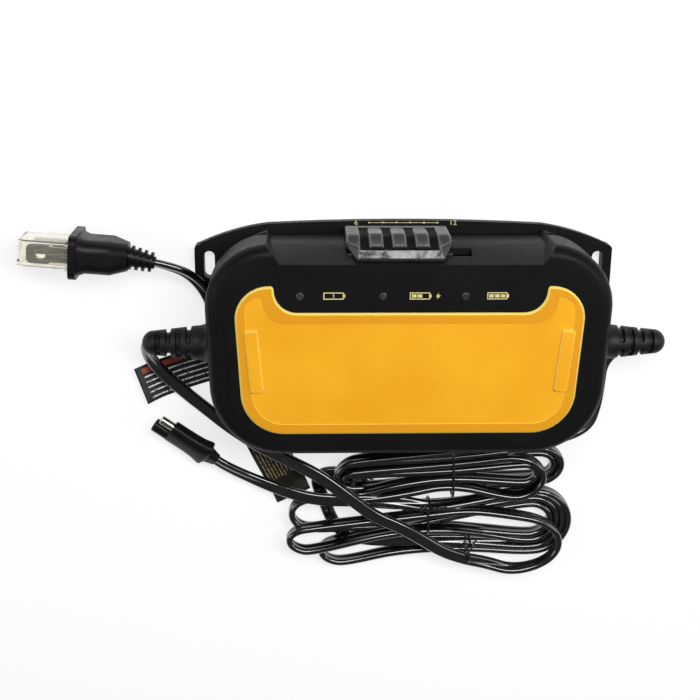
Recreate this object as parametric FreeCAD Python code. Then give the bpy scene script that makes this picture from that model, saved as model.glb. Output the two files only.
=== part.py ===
import FreeCAD, Part
import math
import os

# A small two-voltage battery charger lying on its back, with its cords tied in two hanks.
# Millimetres. The origin is under the middle of the case, +Z comes out of the yellow face,
# +Y points to the side with the voltage selector and +X to the mains side.

Vector = FreeCAD.Vector
Rotation = FreeCAD.Rotation
X_AXIS = Vector(1, 0, 0)
Y_AXIS = Vector(0, 1, 0)
Z_AXIS = Vector(0, 0, 1)
along_x_frame = Rotation(Y_AXIS, Z_AXIS, X_AXIS, "XYZ")     # turns an outline in X, Y into one in Y, Z

# Fits
flat_gap = 0.15          # between flat faces that pass each other
run_gap = 0.05           # radial, round parts in round holes
soft_gap = 0.3           # between curved faces of separate bodies
past = 1.0               # how far a cutter reaches past what it cuts

# Case
case_height = 40.0
parting_height = 16.0
wall = 2.5
case_half = 80.95        # at Y = 0; the sides lean in towards the bottom
side_lean = 0.035
case_top = 43.0
case_bottom = -45.0
top_corner = 26.0
bottom_corner = 30.0
face_round = 5.0
back_step = 2.9          # how far the back shell stands in at the parting line
back_slope = 6.0         # and how much further at the table
back_top = 44.0

# Rim with mounting ears
rim_thick = 6.0
rim_top = 46.0
rim_shoulder = (case_half - 23.55, 44.5)
rim_slope_mid = (case_half - 10.15, 41.7)
rim_ear_top = (case_half + 4.65, 36.1)
rim_ear_bulge = 0.35
ear_half = case_half + 6.55
ear_foot = 17.0
ear_round = 3.0
rim_bevel = 1.9
ear_slot_x = case_half + 0.45
ear_slot_y = 27.6
ear_slot_width = 4.5
ear_slot_length = 11.6

# Selector bay
bay_half_inner = 50.5
bay_half_outer = 56.5
bay_corner = 5.0
bay_wall_y = 41.0
bay_knee = (40.6, 24.0)
bay_edge = (35.7, case_height)
slope_lean = (bay_knee[0] - bay_edge[0]) / (bay_edge[1] - bay_knee[1])

# Selector
slider_width = 42.4
slider_x = -4.2          # middle of the slider at the low-voltage end of its travel
slider_travel = 7.5
slider_foot = 7.5
slider_top = case_height - 1.8
slider_proud = 1.5
slider_front = 44.0
slider_front_lean = 0.5
slider_lip_height = 4.0  # from the bay's knee to where the lip swells
slider_lip_swell = 0.6
slider_lip_narrowing = 4.2
rib_count = 3
rib_pitch = 9.2
rib_width = 5.5
rib_low = 10.0
rib_high = 25.0
rib_foot_rise = 0.6
rib_head_rise = 0.2
rib_round = 0.9
window_depth = 1.3
window_margin = 0.6
window_foot_margin = 0.8
tongue_low = 27.7
tongue_high = 33.3
tongue_inner_y = 33.2
tongue_slot_reach = 2.0  # how far its slot is cut past the tongue's inner face
actuator_width = 16.0
actuator_thick = 2.6
actuator_overlap = 2.4   # how far the actuator reaches past the slot above and below
prong_thick = 2.4
prong_clear = 1.0
lever_half = 1.4
lever_clear = 0.3
lever_reach = 2.4        # how deep the lever stands in its switch
switch_height = 7.0
switch_half = 12.0
switch_y = (28.4, 34.2)
switch_slot_deep = 3.0

# Pad, face plate and grips
pad_rise = 0.5
pad_offset = 4.2
pad_top = 29.6
plate_thick = 2.0
plate_rise = 0.9
plate_half = case_half - 12.25     # at Y = 0
plate_lean = 0.057
plate_bottom = -34.6
plate_bottom_corner = 17.5
plate_horn = (plate_half - 14.4, 27.2)
plate_horn_round = 1.2
plate_shoulder_round = 13.5
plate_shoulder_tighten = 1.8
plate_scoop_y = 16.4
plate_scoop_x = plate_half - 15.8
plate_scoop_round = 9.0
plate_bevel = 0.8
plate_step_in = 4.3
plate_step_deep = 0.3
grip_length = 26.0
grip_width = 5.3
grip_rise = 1.0
grip_x = plate_half - 6.5
grip_y = -3.6
grip_lean = 5.0
grip_round = 1.2
grip_edge_round = 0.6

# Lamps
lamp_radius = 1.55
lamp_y = 23.2
lamp_pitch = 32.65
lamp_middle = -11.1
lamp_count = 3
lamp_rise = 0.35
lamp_flange = 2.5
lamp_flange_thick = 1.5
lamp_chip_height = 2.0
lamp_chip_clear = 1.0

# Case screws and board
case_screw_top = (case_half - 14.95, 20.0)
case_screw_bottom = (case_half - 19.95, -26.0)
boss_radius = 3.8
case_screw_radius = 1.5
case_screw_head = 2.8
case_screw_head_thick = 2.2
case_screw_sink = 8.0
case_screw_length = 20.0
board_half = case_half - 20.95
board_bottom = -34.0
board_top = 34.5
board_height = 9.0
board_thick = 1.6
board_notch_clear = 1.0
board_post = (board_half - 10.0, 28.0)
post_radius = 3.2
board_screw_radius = 1.1
board_screw_head = 2.4
board_screw_head_thick = 1.5
board_screw_foot = 1.0   # from the shell's wall to the screw's end

# Parts on the board, as places in X, Y and sizes
transformer_place = (-4.0, -9.0)
transformer_size = (24.0, 20.0, 17.0)
transformer_leg = 5.0
input_can = (20.0, -14.0, 6.3, 21.0)             # X, Y, radius, height
output_cans = [(-44.0, -8.0, 5.0, 18.0), (-44.0, 6.0, 5.0, 18.0)]
can_bead = (2.0, 1.0, 0.5)                       # height, width and depth of the rolled bead
choke_place = (-28.0, -22.0)
choke_size = (6.0, 10.0)                         # radius, height
choke_flange = 1.5
choke_coil_in = 0.5
main_sink = (22.0, 8.0, 26.0, 20.0, 5)           # X, Y, length, height, fins
diode_sink = (-26.0, 6.0, 16.0, 20.0, 4)
sink_back = 2.0
sink_fin = 1.2
sink_depth = 8.0
device_half = 5.0
device_tab_thick = 1.3
device_thick = 4.4
device_leg = 4.0
device_tab_top = 19.0
device_body_top = 13.0
device_leg_pitch = 2.54
device_leg_half = 0.4
device_leg_y = (2.6, 2.0)
bridge_box = (32.0, 45.0, -8.0, -4.0)
bridge_height = 10.0
film_box = (38.0, 55.0, 8.0, 15.0)
film_height = 13.0
fuse_place = (34.0, -26.0)
fuse_length = 20.0
fuse_radius = 2.6
fuse_axis = 4.5
clip_half = 2.0
clip_wall = 0.8
clip_inset = 3.0
clip_over = 1.0
chip_place = (-8.0, 12.0)
chip_half = (2.5, 2.0)
chip_low = 0.3
chip_high = 2.0
chip_legs = 4
chip_leg_pitch = 1.27
chip_leg_half = 0.2
chip_leg_reach = 3.1
chip_leg_height = 0.5
inner_wire_offset = 1.6
inner_wire_run = 6.5     # level run inside the case before a wire turns down
inner_wire_drop = 12.5
inner_wire_end = 15.5
inner_wire_over = 5.0    # height over the board of the last bend
inner_wire_bend = 1.4

# Cord
cord_diameter = 3.6
cord_radius = cord_diameter / 2
wire_radius = 0.9

# Strain reliefs
relief_y = -2.0
relief_z = 20.0
relief_seat = case_half - 1.1
relief_tip = case_half + 24.55
relief_neck = 5.5
relief_collar = 9.4
relief_flare = [(0.3, 9.4), (1.3, 8.3), (2.8, 7.5), (5.0, 7.0)]     # from the case's side, and radius
relief_root = 7.0
relief_end = cord_radius + 2.3
relief_tip_round = 1.4
relief_flange = 6.8
relief_flange_thick = 2.0
relief_clamp_reach = 1.7
relief_clamp_inner = case_half - back_step - wall - relief_clamp_reach
relief_clamp_radius = 9.6
relief_groove_count = 4
relief_groove_pitch = 4.1
relief_groove_width = 1.7
relief_groove_deep = 1.5
relief_groove_first = case_half + 7.65
relief_web = 3.4
relief_cord_start = relief_tip - 8.0

# Mains plug
plug_face = Vector(-136.0, 34.6, 13.4)
plug_turn = -4.5
blade_pitch = 12.7
blade_thick = 1.5
blade_length = 17.5
blade_narrow = 6.3
blade_wide = 7.9
blade_hole_radius = 2.0
blade_hole_from_tip = 5.8
blade_widening = 0.45    # share of the blade's length at which the wide one widens
blade_tip_round = 2.0
blade_root_depth = 6.0
flange_width = 18.0
flange_height = 26.0
flange_thick = 3.0
flange_round = 4.0
plug_body_length = 22.5
plug_body_width = 14.0
plug_body_height = 21.0
plug_body_round = 5.0
plug_body_swell = 2.0    # extra width where the body meets the flange
plug_swell_length = 3.0
plug_shoulder = 15.75    # where the body starts to narrow to its relief
plug_end_over = (1.0, 2.0)
plug_end_round = 4.8
plug_groove_first = 6.0
plug_groove_pitch = 3.0
plug_groove_width = 1.0
plug_groove_deep = 0.7
plug_groove_count = 4
plug_relief_turn = -9.0
plug_relief_sink = 1.0
plug_relief_length = 12.0
plug_relief_root = 5.2
plug_relief_end = 3.9
plug_relief_core = (1.0, 1.4)       # how much thinner the core is than its discs at each end
plug_rib_count = 4
plug_rib_first = 1.6
plug_rib_pitch = 2.7
plug_rib_width = 1.2
cover_length = 20.5
cover_width = 11.0
cover_height = 17.6
cover_wall = 0.9
cover_round = 1.6
cover_lip = 0.6
cover_lip_length = 1.6

# Output connector
connector_tip = Vector(-105.6, -41.7, 7.0)
connector_turn = -36.0
connector_roll = 38.0
connector_pitch = 6.4
connector_pin_radius = 1.95
connector_pin_tip = 0.6
connector_pin_length = 7.0
connector_root_radius = 1.4
connector_root_length = 3.4
connector_root_room = 0.6
connector_body_length = 14.5
connector_body_width = 12.2
connector_body_thick = 6.6
connector_body_round = 2.9
connector_neck_length = 5.5
connector_neck_radius = 3.0
connector_neck_wall = 0.4
connector_bore_radius = connector_pin_radius + run_gap
connector_bore_depth = 8.5
connector_socket_length = 1.2
connector_socket_radius = connector_bore_radius + 0.4
connector_sheath_radius = connector_socket_radius + 0.55
connector_grip_length = 3.6
connector_grip_over = 0.9
connector_grip_round = 3.0

# Free cord routes, from the object outwards to the hanks or the connector
ac_plug_route = [
    (-87.8, 22.9, 9.2),
    (-82.6, 16.4, 8.7),
    (-79.9, 8.0, 6.0),
    (-79.4, -3.5, 3.4),
    (-78.6, -16.0, 2.8),
    (-75.6, -30.0, 2.7),
    (-69.8, -42.0, 2.7),
    (-60.5, -50.4, 2.6),
    (-47.0, -53.4, 2.6),
]
ac_body_route = [
    (109.3, -2.6, 11.6),
    (101.5, -6.4, 5.2),
    (93.0, -9.8, 2.8),
    (87.6, -17.0, 2.6),
    (87.0, -26.5, 2.7),
    (85.9, -36.5, 3.8),
    (82.4, -46.4, 5.6),
]
dc_body_route = [
    (-109.2, -8.6, 13.0),
    (-106.4, -15.6, 6.6),
    (-101.2, -22.4, 3.5),
    (-93.2, -30.2, 2.7),
    (-84.6, -37.6, 2.6),
    (-74.6, -46.2, 3.0),
    (-62.6, -53.6, 5.4),
    (-48.0, -60.4, 9.6),
    (-33.0, -67.8, 12.4),
    (-17.6, -77.4, 12.6),
    (-2.4, -88.0, 12.6),
    (13.8, -97.0, 12.6),
    (27.6, -106.0, 12.5),
    (38.5, -114.6, 11.8),
]
dc_connector_route = [
    (-66.0, -70.6, 2.9),
    (-57.0, -74.6, 2.6),
    (-47.6, -76.4, 2.6),
    (-32.6, -78.9, 2.6),
    (-20.4, -80.9, 2.7),
    (-10.4, -84.4, 2.6),
]
exit_run = 9.0           # straight out of the plug and the connector
relief_run = 11.6        # straight out of a strain relief's bore
entry_run = 9.0          # straight into a hank

# Hanks: half the run between the end bends, half-width at the climb, and how they wind
hank_lift = 1.0
hank_step = cord_diameter + 0.7
hank_layer = cord_diameter + 0.55
hank_key_sides = [(0, 1), (1, 1), (1, 0), (1, -1), (0, -1), (-1, -1), (-1, 0), (-1, 1)]
hank_climb_keys = 2
ac_hank_middle = (22.0, -64.5)
ac_hank_run = 38.8
ac_hank_inner = 4.1
ac_hank_draw = 2.0
ac_hank_first_key = 7
ac_hank_in_keys = 16
ac_hank_out_keys = 16
dc_hank_middle = (14.0, -99.0)
dc_hank_run = 45.6
dc_hank_inner = 8.1
dc_hank_draw = 6.0
dc_hank_first_key = 3
dc_hank_in_keys = 18
dc_hank_out_keys = 15
arc_share = 0.45         # share of the shorter run that a cord's arc takes
gap_spacing = 1.5        # between the points on which a hank's least gap is measured

# Ties and tags
tie_thick = 0.6
tie_width = 3.0
tie_clear = 0.3
tie_round = 1.5
ac_tie_x = 23.0
dc_tie_x = 12.4
dc_second_tie_x = 31.0
tag_thick = 0.4
tag_lift = 0.05
left_tag_corner = (-case_half - 34.25, -19.3)
left_tag_size = (34.0, 16.5)
left_tag_turn = 20.0
lower_tag_corner = (-54.2, -82.9)
lower_tag_size = (16.5, 38.0)
lower_tag_turn = 26.5


# Helpers

def corner_arc(before, here, after, radius):
    """Start, middle and end of the arc that rounds the corner at here."""
    if radius == 0:
        return here, here, here
    arriving = (here - before).normalize()
    leaving = (after - here).normalize()
    half_turn = arriving.getAngle(leaving) / 2
    reach = radius * math.tan(half_turn)
    inward = (leaving - arriving).normalize()
    centre = here + inward * (radius / math.cos(half_turn))
    middle = centre + (here - centre).normalize() * radius
    return here - arriving * reach, middle, here + leaving * reach


def rounded_wire(corners, height=0.0):
    """Closed outline at a height through corners given as x, y, radius."""
    points = [Vector(x, y, height) for x, y, radius in corners]
    count = len(points)
    arcs = []
    for i in range(count):
        radius = corners[i][2]
        arcs.append(corner_arc(points[i - 1], points[i], points[(i + 1) % count], radius))
    edges = []
    for i in range(count):
        start, middle, end = arcs[i]
        following = arcs[(i + 1) % count][0]
        if corners[i][2] > 0:
            edges.append(Part.Arc(start, middle, end).toShape())
        edges.append(Part.LineSegment(end, following).toShape())
    return Part.Wire(edges)


def plate_from(corners, low, high):
    """Solid between two heights with a rounded outline."""
    return Part.Face(rounded_wire(corners, low)).extrude(Z_AXIS * (high - low))


def taper(low_corners, low, high_corners, high):
    """Solid whose outline changes evenly between two heights."""
    return Part.makeLoft([rounded_wire(low_corners, low), rounded_wire(high_corners, high)], True, True)


def box(x0, x1, y0, y1, z0, z1):
    return Part.makeBox(x1 - x0, y1 - y0, z1 - z0, Vector(x0, y0, z0))


def upright(x, y, low, high, radius):
    return Part.makeCylinder(radius, high - low, Vector(x, y, low))


def along_x(x0, x1, y, z, radius):
    return Part.makeCylinder(radius, x1 - x0, Vector(x0, y, z), X_AXIS)


def side_prism(yz_points, x0, x1):
    """Prism along X whose section is a list of y, z points."""
    outline = [Vector(x0, y, z) for y, z in yz_points]
    return Part.Face(Part.makePolygon(outline + outline[:1])).extrude(X_AXIS * (x1 - x0))


def turned_profile(points, direction_sign):
    """Solid of revolution about the X axis from x, radius points on one side."""
    outline = [Vector(direction_sign * x, radius, 0) for x, radius in points]
    face = Part.Face(Part.makePolygon(outline + outline[:1]))
    return face.revolve(Vector(0, 0, 0), X_AXIS, 360)


def mirrored(shape):
    return shape.mirror(Vector(0, 0, 0), X_AXIS)


def placed(shape, base, turn, roll=0.0):
    """Copy moved from the origin to base, turned about Z after a roll about X."""
    copy = shape.copy()
    spin = Rotation(Z_AXIS, turn).multiply(Rotation(X_AXIS, roll))
    copy.Placement = FreeCAD.Placement(base, spin)
    return copy


def place_point(point, base, turn, roll=0.0):
    spin = Rotation(Z_AXIS, turn).multiply(Rotation(X_AXIS, roll))
    return base + spin.multVec(point)


def save(name, *solids):
    shape = solids[0] if len(solids) == 1 else Part.makeCompound(list(solids))
    count = len(shape.Solids)
    if not shape.isValid() or count < len(solids):
        print("CHECK", name, "valid", shape.isValid(), "solids", count)
    shape.exportStep("parts/" + name + ".step")
    nodes[name] = shape


# Cord helpers

def sweep(edges, start, heading):
    """Round tube along a path."""
    ring = Part.Wire(Part.Circle(start, heading, cord_radius).toShape())
    return Part.Wire(edges).makePipeShell([ring], True, False)


def route_tube(name, points):
    """Tube of straight runs joined by tangent arcs as large as the runs allow."""
    edges = []
    at = points[0]
    radii = []
    for before, here, after in zip(points, points[1:], points[2:]):
        half_turn = (here - before).getAngle(after - here) / 2
        run = min((here - before).Length, (after - here).Length)
        radius = arc_share * run / math.tan(half_turn)
        start, middle, end = corner_arc(before, here, after, radius)
        edges.append(Part.LineSegment(at, start).toShape())
        edges.append(Part.Arc(start, middle, end).toShape())
        radii.append(radius)
        at = end
    edges.append(Part.LineSegment(at, points[-1]).toShape())
    length = sum(edge.Length for edge in edges)
    tube = sweep(edges, points[0], points[1] - points[0])
    section = math.pi * cord_radius ** 2
    print(name, "length", round(length, 1), "radii", [round(r, 1) for r in radii],
          "volume ratio", round(tube.Volume / (section * length), 4))
    return tube


def biarc(start, start_heading, end, end_heading):
    """Two tangent arcs from one point and heading to another."""
    gap = end - start
    both = start_heading + end_heading
    spread = 2 * (1 - start_heading.dot(end_heading))
    along = gap.dot(both)
    if spread < 1e-9:
        reach = gap.dot(gap) / (4 * gap.dot(end_heading))
    else:
        reach = (math.sqrt(along ** 2 + spread * gap.dot(gap)) - along) / spread
    first = start + start_heading * reach
    second = end - end_heading * reach
    return [(start, first, (first + second) / 2), ((first + second) / 2, second, end)]


def arc_through(start, corner, end):
    """Arc that leaves start towards corner and arrives at end from it, both as far from the corner."""
    chord = (end - start) / 2
    middle = (start + end) / 2
    rise = corner - middle
    if rise.Length < 1e-6:
        return Part.LineSegment(start, end).toShape()
    ratio = rise.Length / chord.Length
    quarter = (math.sqrt(1 + ratio ** 2) - 1) / ratio
    return Part.Arc(start, middle + rise * (quarter * chord.Length / rise.Length), end).toShape()


def level(angle):
    """Heading in the table's plane."""
    return Vector(math.cos(math.radians(angle)), math.sin(math.radians(angle)), 0)


def lead(name, start, out_step, middle_points, in_step, end):
    """Free stretch of cord that leaves start by one straight step and reaches a hank by another."""
    points = [start, start + out_step] + [Vector(*p) for p in middle_points] + [end - in_step, end]
    save(name, route_tube(name, points))


def hank_key(key, middle, run, half_width, draw, clockwise):
    """Place and heading of one of the eight key points of a turn."""
    across, up = hank_key_sides[key % len(hank_key_sides)]
    at_waist = across == 0
    at_end = up == 0
    x = across * (run + (half_width if at_end else 0))
    y = up * (half_width - (draw if at_waist else 0))
    sense = 1 if clockwise else -1
    heading = Vector(0, -across * sense, 0) if at_end else Vector(up * sense, 0, 0)
    return Vector(middle[0] + x, middle[1] + y, 0), heading


def hank_route(middle, run, inner, draw, first_key, clockwise, in_keys, out_keys, low_first):
    """Places and headings: spiral in on one layer, climb at the inner turn, spiral out on the other."""
    low = hank_lift + cord_radius
    high = low + hank_layer
    first_z, last_z = (low, high) if low_first else (high, low)
    rate = hank_step / len(hank_key_sides)
    sense = 1 if clockwise else -1
    route = []
    for i in range(in_keys + hank_climb_keys + out_keys + 1):
        half_width = inner + rate * (abs(i - in_keys - hank_climb_keys / 2) - 1)
        place, heading = hank_key(first_key + sense * i, middle, run, half_width, draw, clockwise)
        share = min(max((i - in_keys) / hank_climb_keys, 0), 1)
        place.z = first_z + (last_z - first_z) * share
        if 0 < share < 1:
            heading = (heading + Z_AXIS * ((last_z - first_z) / run)).normalize()
        route.append((place, heading))
    return route


def least_gap(points, spacing):
    """Least gap of a tube to itself, from points along its middle."""
    apart = int(4 * cord_diameter / spacing)
    least = 1e9
    for i, here in enumerate(points):
        for there in points[i + apart:]:
            if abs(here.x - there.x) < least and abs(here.y - there.y) < least:
                least = min(least, here.distanceToPoint(there))
    return least - cord_diameter


def hank_solid(name, route):
    """One unbroken tube through a hank's key points, straight at both ends."""
    first, first_heading = route[0]
    last, last_heading = route[-1]
    start = first - first_heading * cord_diameter
    end = last + last_heading * cord_diameter
    edges = [Part.LineSegment(start, first).toShape()]
    for (place, heading), (next_place, next_heading) in zip(route, route[1:]):
        for arc_start, corner, arc_end in biarc(place, heading, next_place, next_heading):
            edges.append(arc_through(arc_start, corner, arc_end))
    edges.append(Part.LineSegment(last, end).toShape())
    points = []
    for edge in edges:
        points += edge.discretize(max(2, int(edge.Length / gap_spacing) + 1))[:-1]
    length = sum(edge.Length for edge in edges)
    solid = sweep(edges, start, first_heading)
    section = math.pi * cord_radius ** 2
    print(name, "length", round(length, 1), "least gap", round(least_gap(points, gap_spacing), 2),
          "volume ratio", round(solid.Volume / (section * length), 4))
    return solid, start, end, points


# Case

def case_outline(inset=0.0, top=case_top):
    """Outline of the case, wider at the selector side."""
    top_half = case_half + side_lean * top - inset
    bottom_half = case_half + side_lean * case_bottom - inset
    return [
        (top_half, top - inset, top_corner - inset),
        (-top_half, top - inset, top_corner - inset),
        (-bottom_half, case_bottom + inset, bottom_corner - inset),
        (bottom_half, case_bottom + inset, bottom_corner - inset),
    ]


def back_outline(height, inset=0.0):
    """Outline of the back shell, which narrows towards the table on three sides."""
    in_here = back_step + back_slope * (1 - height / parting_height) + inset
    top = back_top - inset
    top_half = case_half + side_lean * top - in_here
    bottom_half = case_half + side_lean * case_bottom - in_here
    return [
        (top_half, top, top_corner - inset),
        (-top_half, top, top_corner - inset),
        (-bottom_half, case_bottom + in_here, bottom_corner - in_here),
        (bottom_half, case_bottom + in_here, bottom_corner - in_here),
    ]


def bay_space(grow=0.0):
    """Space of the bay, or that space grown into the case by a wall."""
    shift = grow * math.sqrt(1 + slope_lean ** 2)
    high = case_height + plate_thick
    top_y = bay_edge[0] - slope_lean * (high - bay_edge[1])
    floor = rim_thick if grow == 0 else 0.0
    section = [
        (bay_wall_y - shift, floor),
        (bay_knee[0] - shift, bay_knee[1]),
        (top_y - shift, high),
        (rim_top + past, high),
        (rim_top + past, floor),
    ]
    outer = bay_half_outer + grow
    inner = bay_half_inner + grow
    far = rim_top + past
    widen = (far - case_top) * (outer - inner) / (case_top - bay_edge[0])
    plan = [
        (outer + widen, far, 0),
        (-outer - widen, far, 0),
        (-inner, bay_edge[0] - grow - 2 * past, bay_corner),
        (inner, bay_edge[0] - grow - 2 * past, bay_corner),
    ]
    return side_prism(section, -ear_half, ear_half).common(plate_from(plan, floor, high))


def both_sides(x, y):
    """A place and its mirror image."""
    return [(x, y), (-x, y)]


def case_screw_points():
    return both_sides(*case_screw_top) + both_sides(*case_screw_bottom)


def board_post_points():
    x, y = board_post
    return both_sides(x, y) + both_sides(x, -y)


def relief_clamp():
    """Bosses inside the case that hold the necks of both strain reliefs."""
    right = along_x(relief_clamp_inner, case_half, relief_y, relief_z, relief_clamp_radius)
    return right.fuse(mirrored(right))


def relief_bore():
    """Hole for a strain relief's neck and the seat of its collar, at both sides."""
    neck = along_x(relief_clamp_inner - past, case_half + past, relief_y, relief_z, relief_neck + run_gap)
    seat = along_x(relief_seat, case_half + 2 * past, relief_y, relief_z, relief_collar + soft_gap)
    right = neck.fuse(seat)
    return right.fuse(mirrored(right))


def front_shell():
    outer = plate_from(case_outline(), parting_height, case_height)
    rim_edges = [e for e in outer.Edges if abs(e.BoundBox.ZMin - case_height) < 1e-6]
    outer = outer.makeFillet(face_round, rim_edges)
    outer = outer.fuse(plate_from(pad_outline(), case_height - past, case_height + pad_rise))
    inner = plate_from(case_outline(wall), parting_height - past, case_height - wall)
    cavity = inner.cut(bay_space(wall))
    bosses = [upright(x, y, parting_height, case_height - wall, boss_radius) for x, y in case_screw_points()]
    clamp = relief_clamp().common(plate_from(case_outline(wall / 2), parting_height, case_height - wall))
    shell = outer.cut(cavity).fuse(bosses + [clamp])
    pilots = [upright(x, y, parting_height - past, parting_height + case_screw_length,
                      case_screw_radius + run_gap) for x, y in case_screw_points()]
    lamps = [upright(x, lamp_y, case_height - wall - past, case_height + plate_thick,
                     lamp_radius + run_gap) for x in lamp_places()]
    plate_seat = plate_from(plate_outline(-flat_gap), case_height + pad_rise + plate_rise - plate_thick,
                            case_height + plate_thick)
    low = tongue_low - flat_gap
    high = tongue_high + flat_gap
    slot_start = slider_x - slider_width / 2 - flat_gap
    slot_end = slider_x + slider_width / 2 + slider_travel + flat_gap
    slot = box(slot_start, slot_end, tongue_inner_y - tongue_slot_reach, case_top, low, high)
    shell = shell.cut([bay_space(), plate_seat, slot, relief_bore()] + pilots + lamps)
    return shell.removeSplitter()


def rim_plate():
    """Rim at the selector side, arched at the top, with an ear at each end."""
    shoulder_x, shoulder_y = rim_shoulder
    mid_x, mid_y = rim_slope_mid
    ear_x, ear_y = rim_ear_top
    corner = Vector(ear_half, ear_y - (ear_half - ear_x), 0)
    foot_start = Vector(ear_half, ear_foot + ear_round, 0)
    foot_mid = Vector(ear_half - ear_round * (1 - math.sqrt(0.5)), ear_foot + ear_round * (1 - math.sqrt(0.5)), 0)
    foot_end = Vector(ear_half - ear_round, ear_foot, 0)
    top = Part.Arc(Vector(-shoulder_x, shoulder_y, 0), Vector(0, rim_top, 0), Vector(shoulder_x, shoulder_y, 0))
    slope = Part.Arc(Vector(shoulder_x, shoulder_y, 0), Vector(mid_x, mid_y, 0), Vector(ear_x, ear_y, 0))
    bulge = Vector(rim_ear_bulge, rim_ear_bulge, 0)
    ear = Part.Arc(Vector(ear_x, ear_y, 0), (Vector(ear_x, ear_y, 0) + corner) / 2 + bulge, corner)
    side = Part.LineSegment(corner, foot_start)
    foot = Part.Arc(foot_start, foot_mid, foot_end)
    right = [piece.toShape() for piece in (slope, ear, side, foot)]
    left = [mirrored(edge) for edge in right]
    bottom = Part.LineSegment(foot_end, Vector(-foot_end.x, foot_end.y, 0)).toShape()
    outline = Part.Wire(Part.__sortEdges__([top.toShape(), bottom] + right + left))
    plate = Part.Face(outline).extrude(Z_AXIS * rim_thick)
    bevelled = [e for e in plate.Edges
                if abs(e.BoundBox.ZMin - rim_thick) < 1e-6 and e.BoundBox.YMax > rim_ear_top[1] + past
                and e.BoundBox.YMin > ear_foot + past]
    return plate.makeChamfer(rim_bevel, bevelled)


def ear_slot():
    half = (ear_slot_length - ear_slot_width) / 2
    radius = ear_slot_width / 2
    middle = box(ear_slot_x - radius, ear_slot_x + radius, ear_slot_y - half, ear_slot_y + half,
                 -past, rim_thick + past)
    ends = [upright(ear_slot_x, ear_slot_y + s * half, -past, rim_thick + past, radius) for s in (-1, 1)]
    slot = middle.fuse(ends)
    return slot.fuse(mirrored(slot))


def back_shell():
    outer = taper(back_outline(0), 0, back_outline(parting_height), parting_height)
    body = outer.fuse(rim_plate())
    inner = taper(back_outline(wall, wall), wall, back_outline(parting_height + past, wall), parting_height + past)
    cavity = inner.cut(bay_space(wall))
    bosses = [upright(x, y, wall / 2, parting_height, boss_radius) for x, y in case_screw_points()]
    posts = [upright(x, y, wall / 2, board_height, post_radius) for x, y in board_post_points()]
    clamp = relief_clamp().common(taper(back_outline(0, wall / 2), 0,
                                        back_outline(parting_height, wall / 2), parting_height))
    shell = body.cut(cavity).fuse(bosses + posts + [clamp])
    holes = [upright(x, y, -past, parting_height + past, case_screw_radius + 2 * run_gap)
             for x, y in case_screw_points()]
    sinks = [upright(x, y, -past, case_screw_sink, case_screw_head + soft_gap)
             for x, y in case_screw_points()]
    pilots = [upright(x, y, wall, board_height + past, board_screw_radius + run_gap)
              for x, y in board_post_points()]
    shell = shell.cut([bay_space(), ear_slot(), relief_bore()] + holes + sinks + pilots)
    return shell.removeSplitter()


# Face

def plate_outline(inset=0.0):
    """Outline of the face plate, scooped out at the top between two horns."""
    horn_x, horn_y = plate_horn
    side_top = plate_half + plate_lean * horn_y - inset
    side_bottom = plate_half + plate_lean * plate_bottom - inset
    right = [
        (side_bottom, plate_bottom + inset, plate_bottom_corner - inset),
        (side_top, horn_y - inset, plate_shoulder_round - plate_shoulder_tighten * inset),
        (horn_x + inset, horn_y - inset, plate_horn_round),
        (plate_scoop_x + inset, plate_scoop_y - inset, plate_scoop_round),
    ]
    left = [(-x, y, radius) for x, y, radius in reversed(right)]
    return right + left


def pad_outline():
    """Outline of the low pad that the face plate stands on."""
    top_half = plate_half + plate_lean * pad_top + pad_offset
    bottom = plate_bottom - pad_offset
    bottom_half = plate_half + plate_lean * bottom + pad_offset
    return [
        (top_half, pad_top, plate_shoulder_round + pad_offset),
        (-top_half, pad_top, plate_shoulder_round + pad_offset),
        (-bottom_half, bottom, plate_bottom_corner + pad_offset),
        (bottom_half, bottom, plate_bottom_corner + pad_offset),
    ]


def grip_bar(side):
    """Raised finger bar near one end of the face plate, leaning with its edge."""
    low = case_height + pad_rise + plate_rise - past
    high = case_height + pad_rise + plate_rise + grip_rise
    half_width = grip_width / 2
    half_length = grip_length / 2
    corners = [(half_width, -half_length, grip_round), (half_width, half_length, grip_round),
               (-half_width, half_length, grip_round), (-half_width, -half_length, grip_round)]
    bar = plate_from(corners, low, high)
    top_edges = [e for e in bar.Edges if abs(e.BoundBox.ZMin - high) < 1e-6]
    bar = bar.makeFillet(grip_edge_round, top_edges)
    return placed(bar, Vector(side * grip_x, grip_y, 0), -side * grip_lean)


def face_plate():
    high = case_height + pad_rise + plate_rise
    plate = plate_from(plate_outline(), high - plate_thick, high)
    top_edges = [e for e in plate.Edges if abs(e.BoundBox.ZMin - high) < 1e-6]
    plate = plate.makeChamfer(plate_bevel, top_edges)
    step = plate_from(plate_outline(plate_step_in), high - plate_step_deep, high + past)
    return plate.cut(step).fuse([grip_bar(side) for side in (-1, 1)]).removeSplitter()


def lamp_places():
    return [lamp_middle + lamp_pitch * (i - (lamp_count - 1) / 2) for i in range(lamp_count)]


def lamp_pipe(x):
    """Clear light pipe from a lamp on the board to the face."""
    face = case_height + pad_rise + lamp_rise
    under = case_height - wall
    foot = board_face() + lamp_chip_height + lamp_chip_clear
    pipe = upright(x, lamp_y, foot, face, lamp_radius)
    flange = upright(x, lamp_y, under - lamp_flange_thick, under, lamp_flange)
    pipe = pipe.fuse(flange).removeSplitter()
    rim = [e for e in pipe.Edges if abs(e.BoundBox.ZMin - face) < 1e-6]
    return pipe.makeFillet(lamp_rise, rim)


# Selector

def slope_y(height, proud):
    """Y of a face that runs along the bay's slope, proud of it."""
    return bay_knee[0] - slope_lean * (height - bay_knee[1]) + proud


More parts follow.
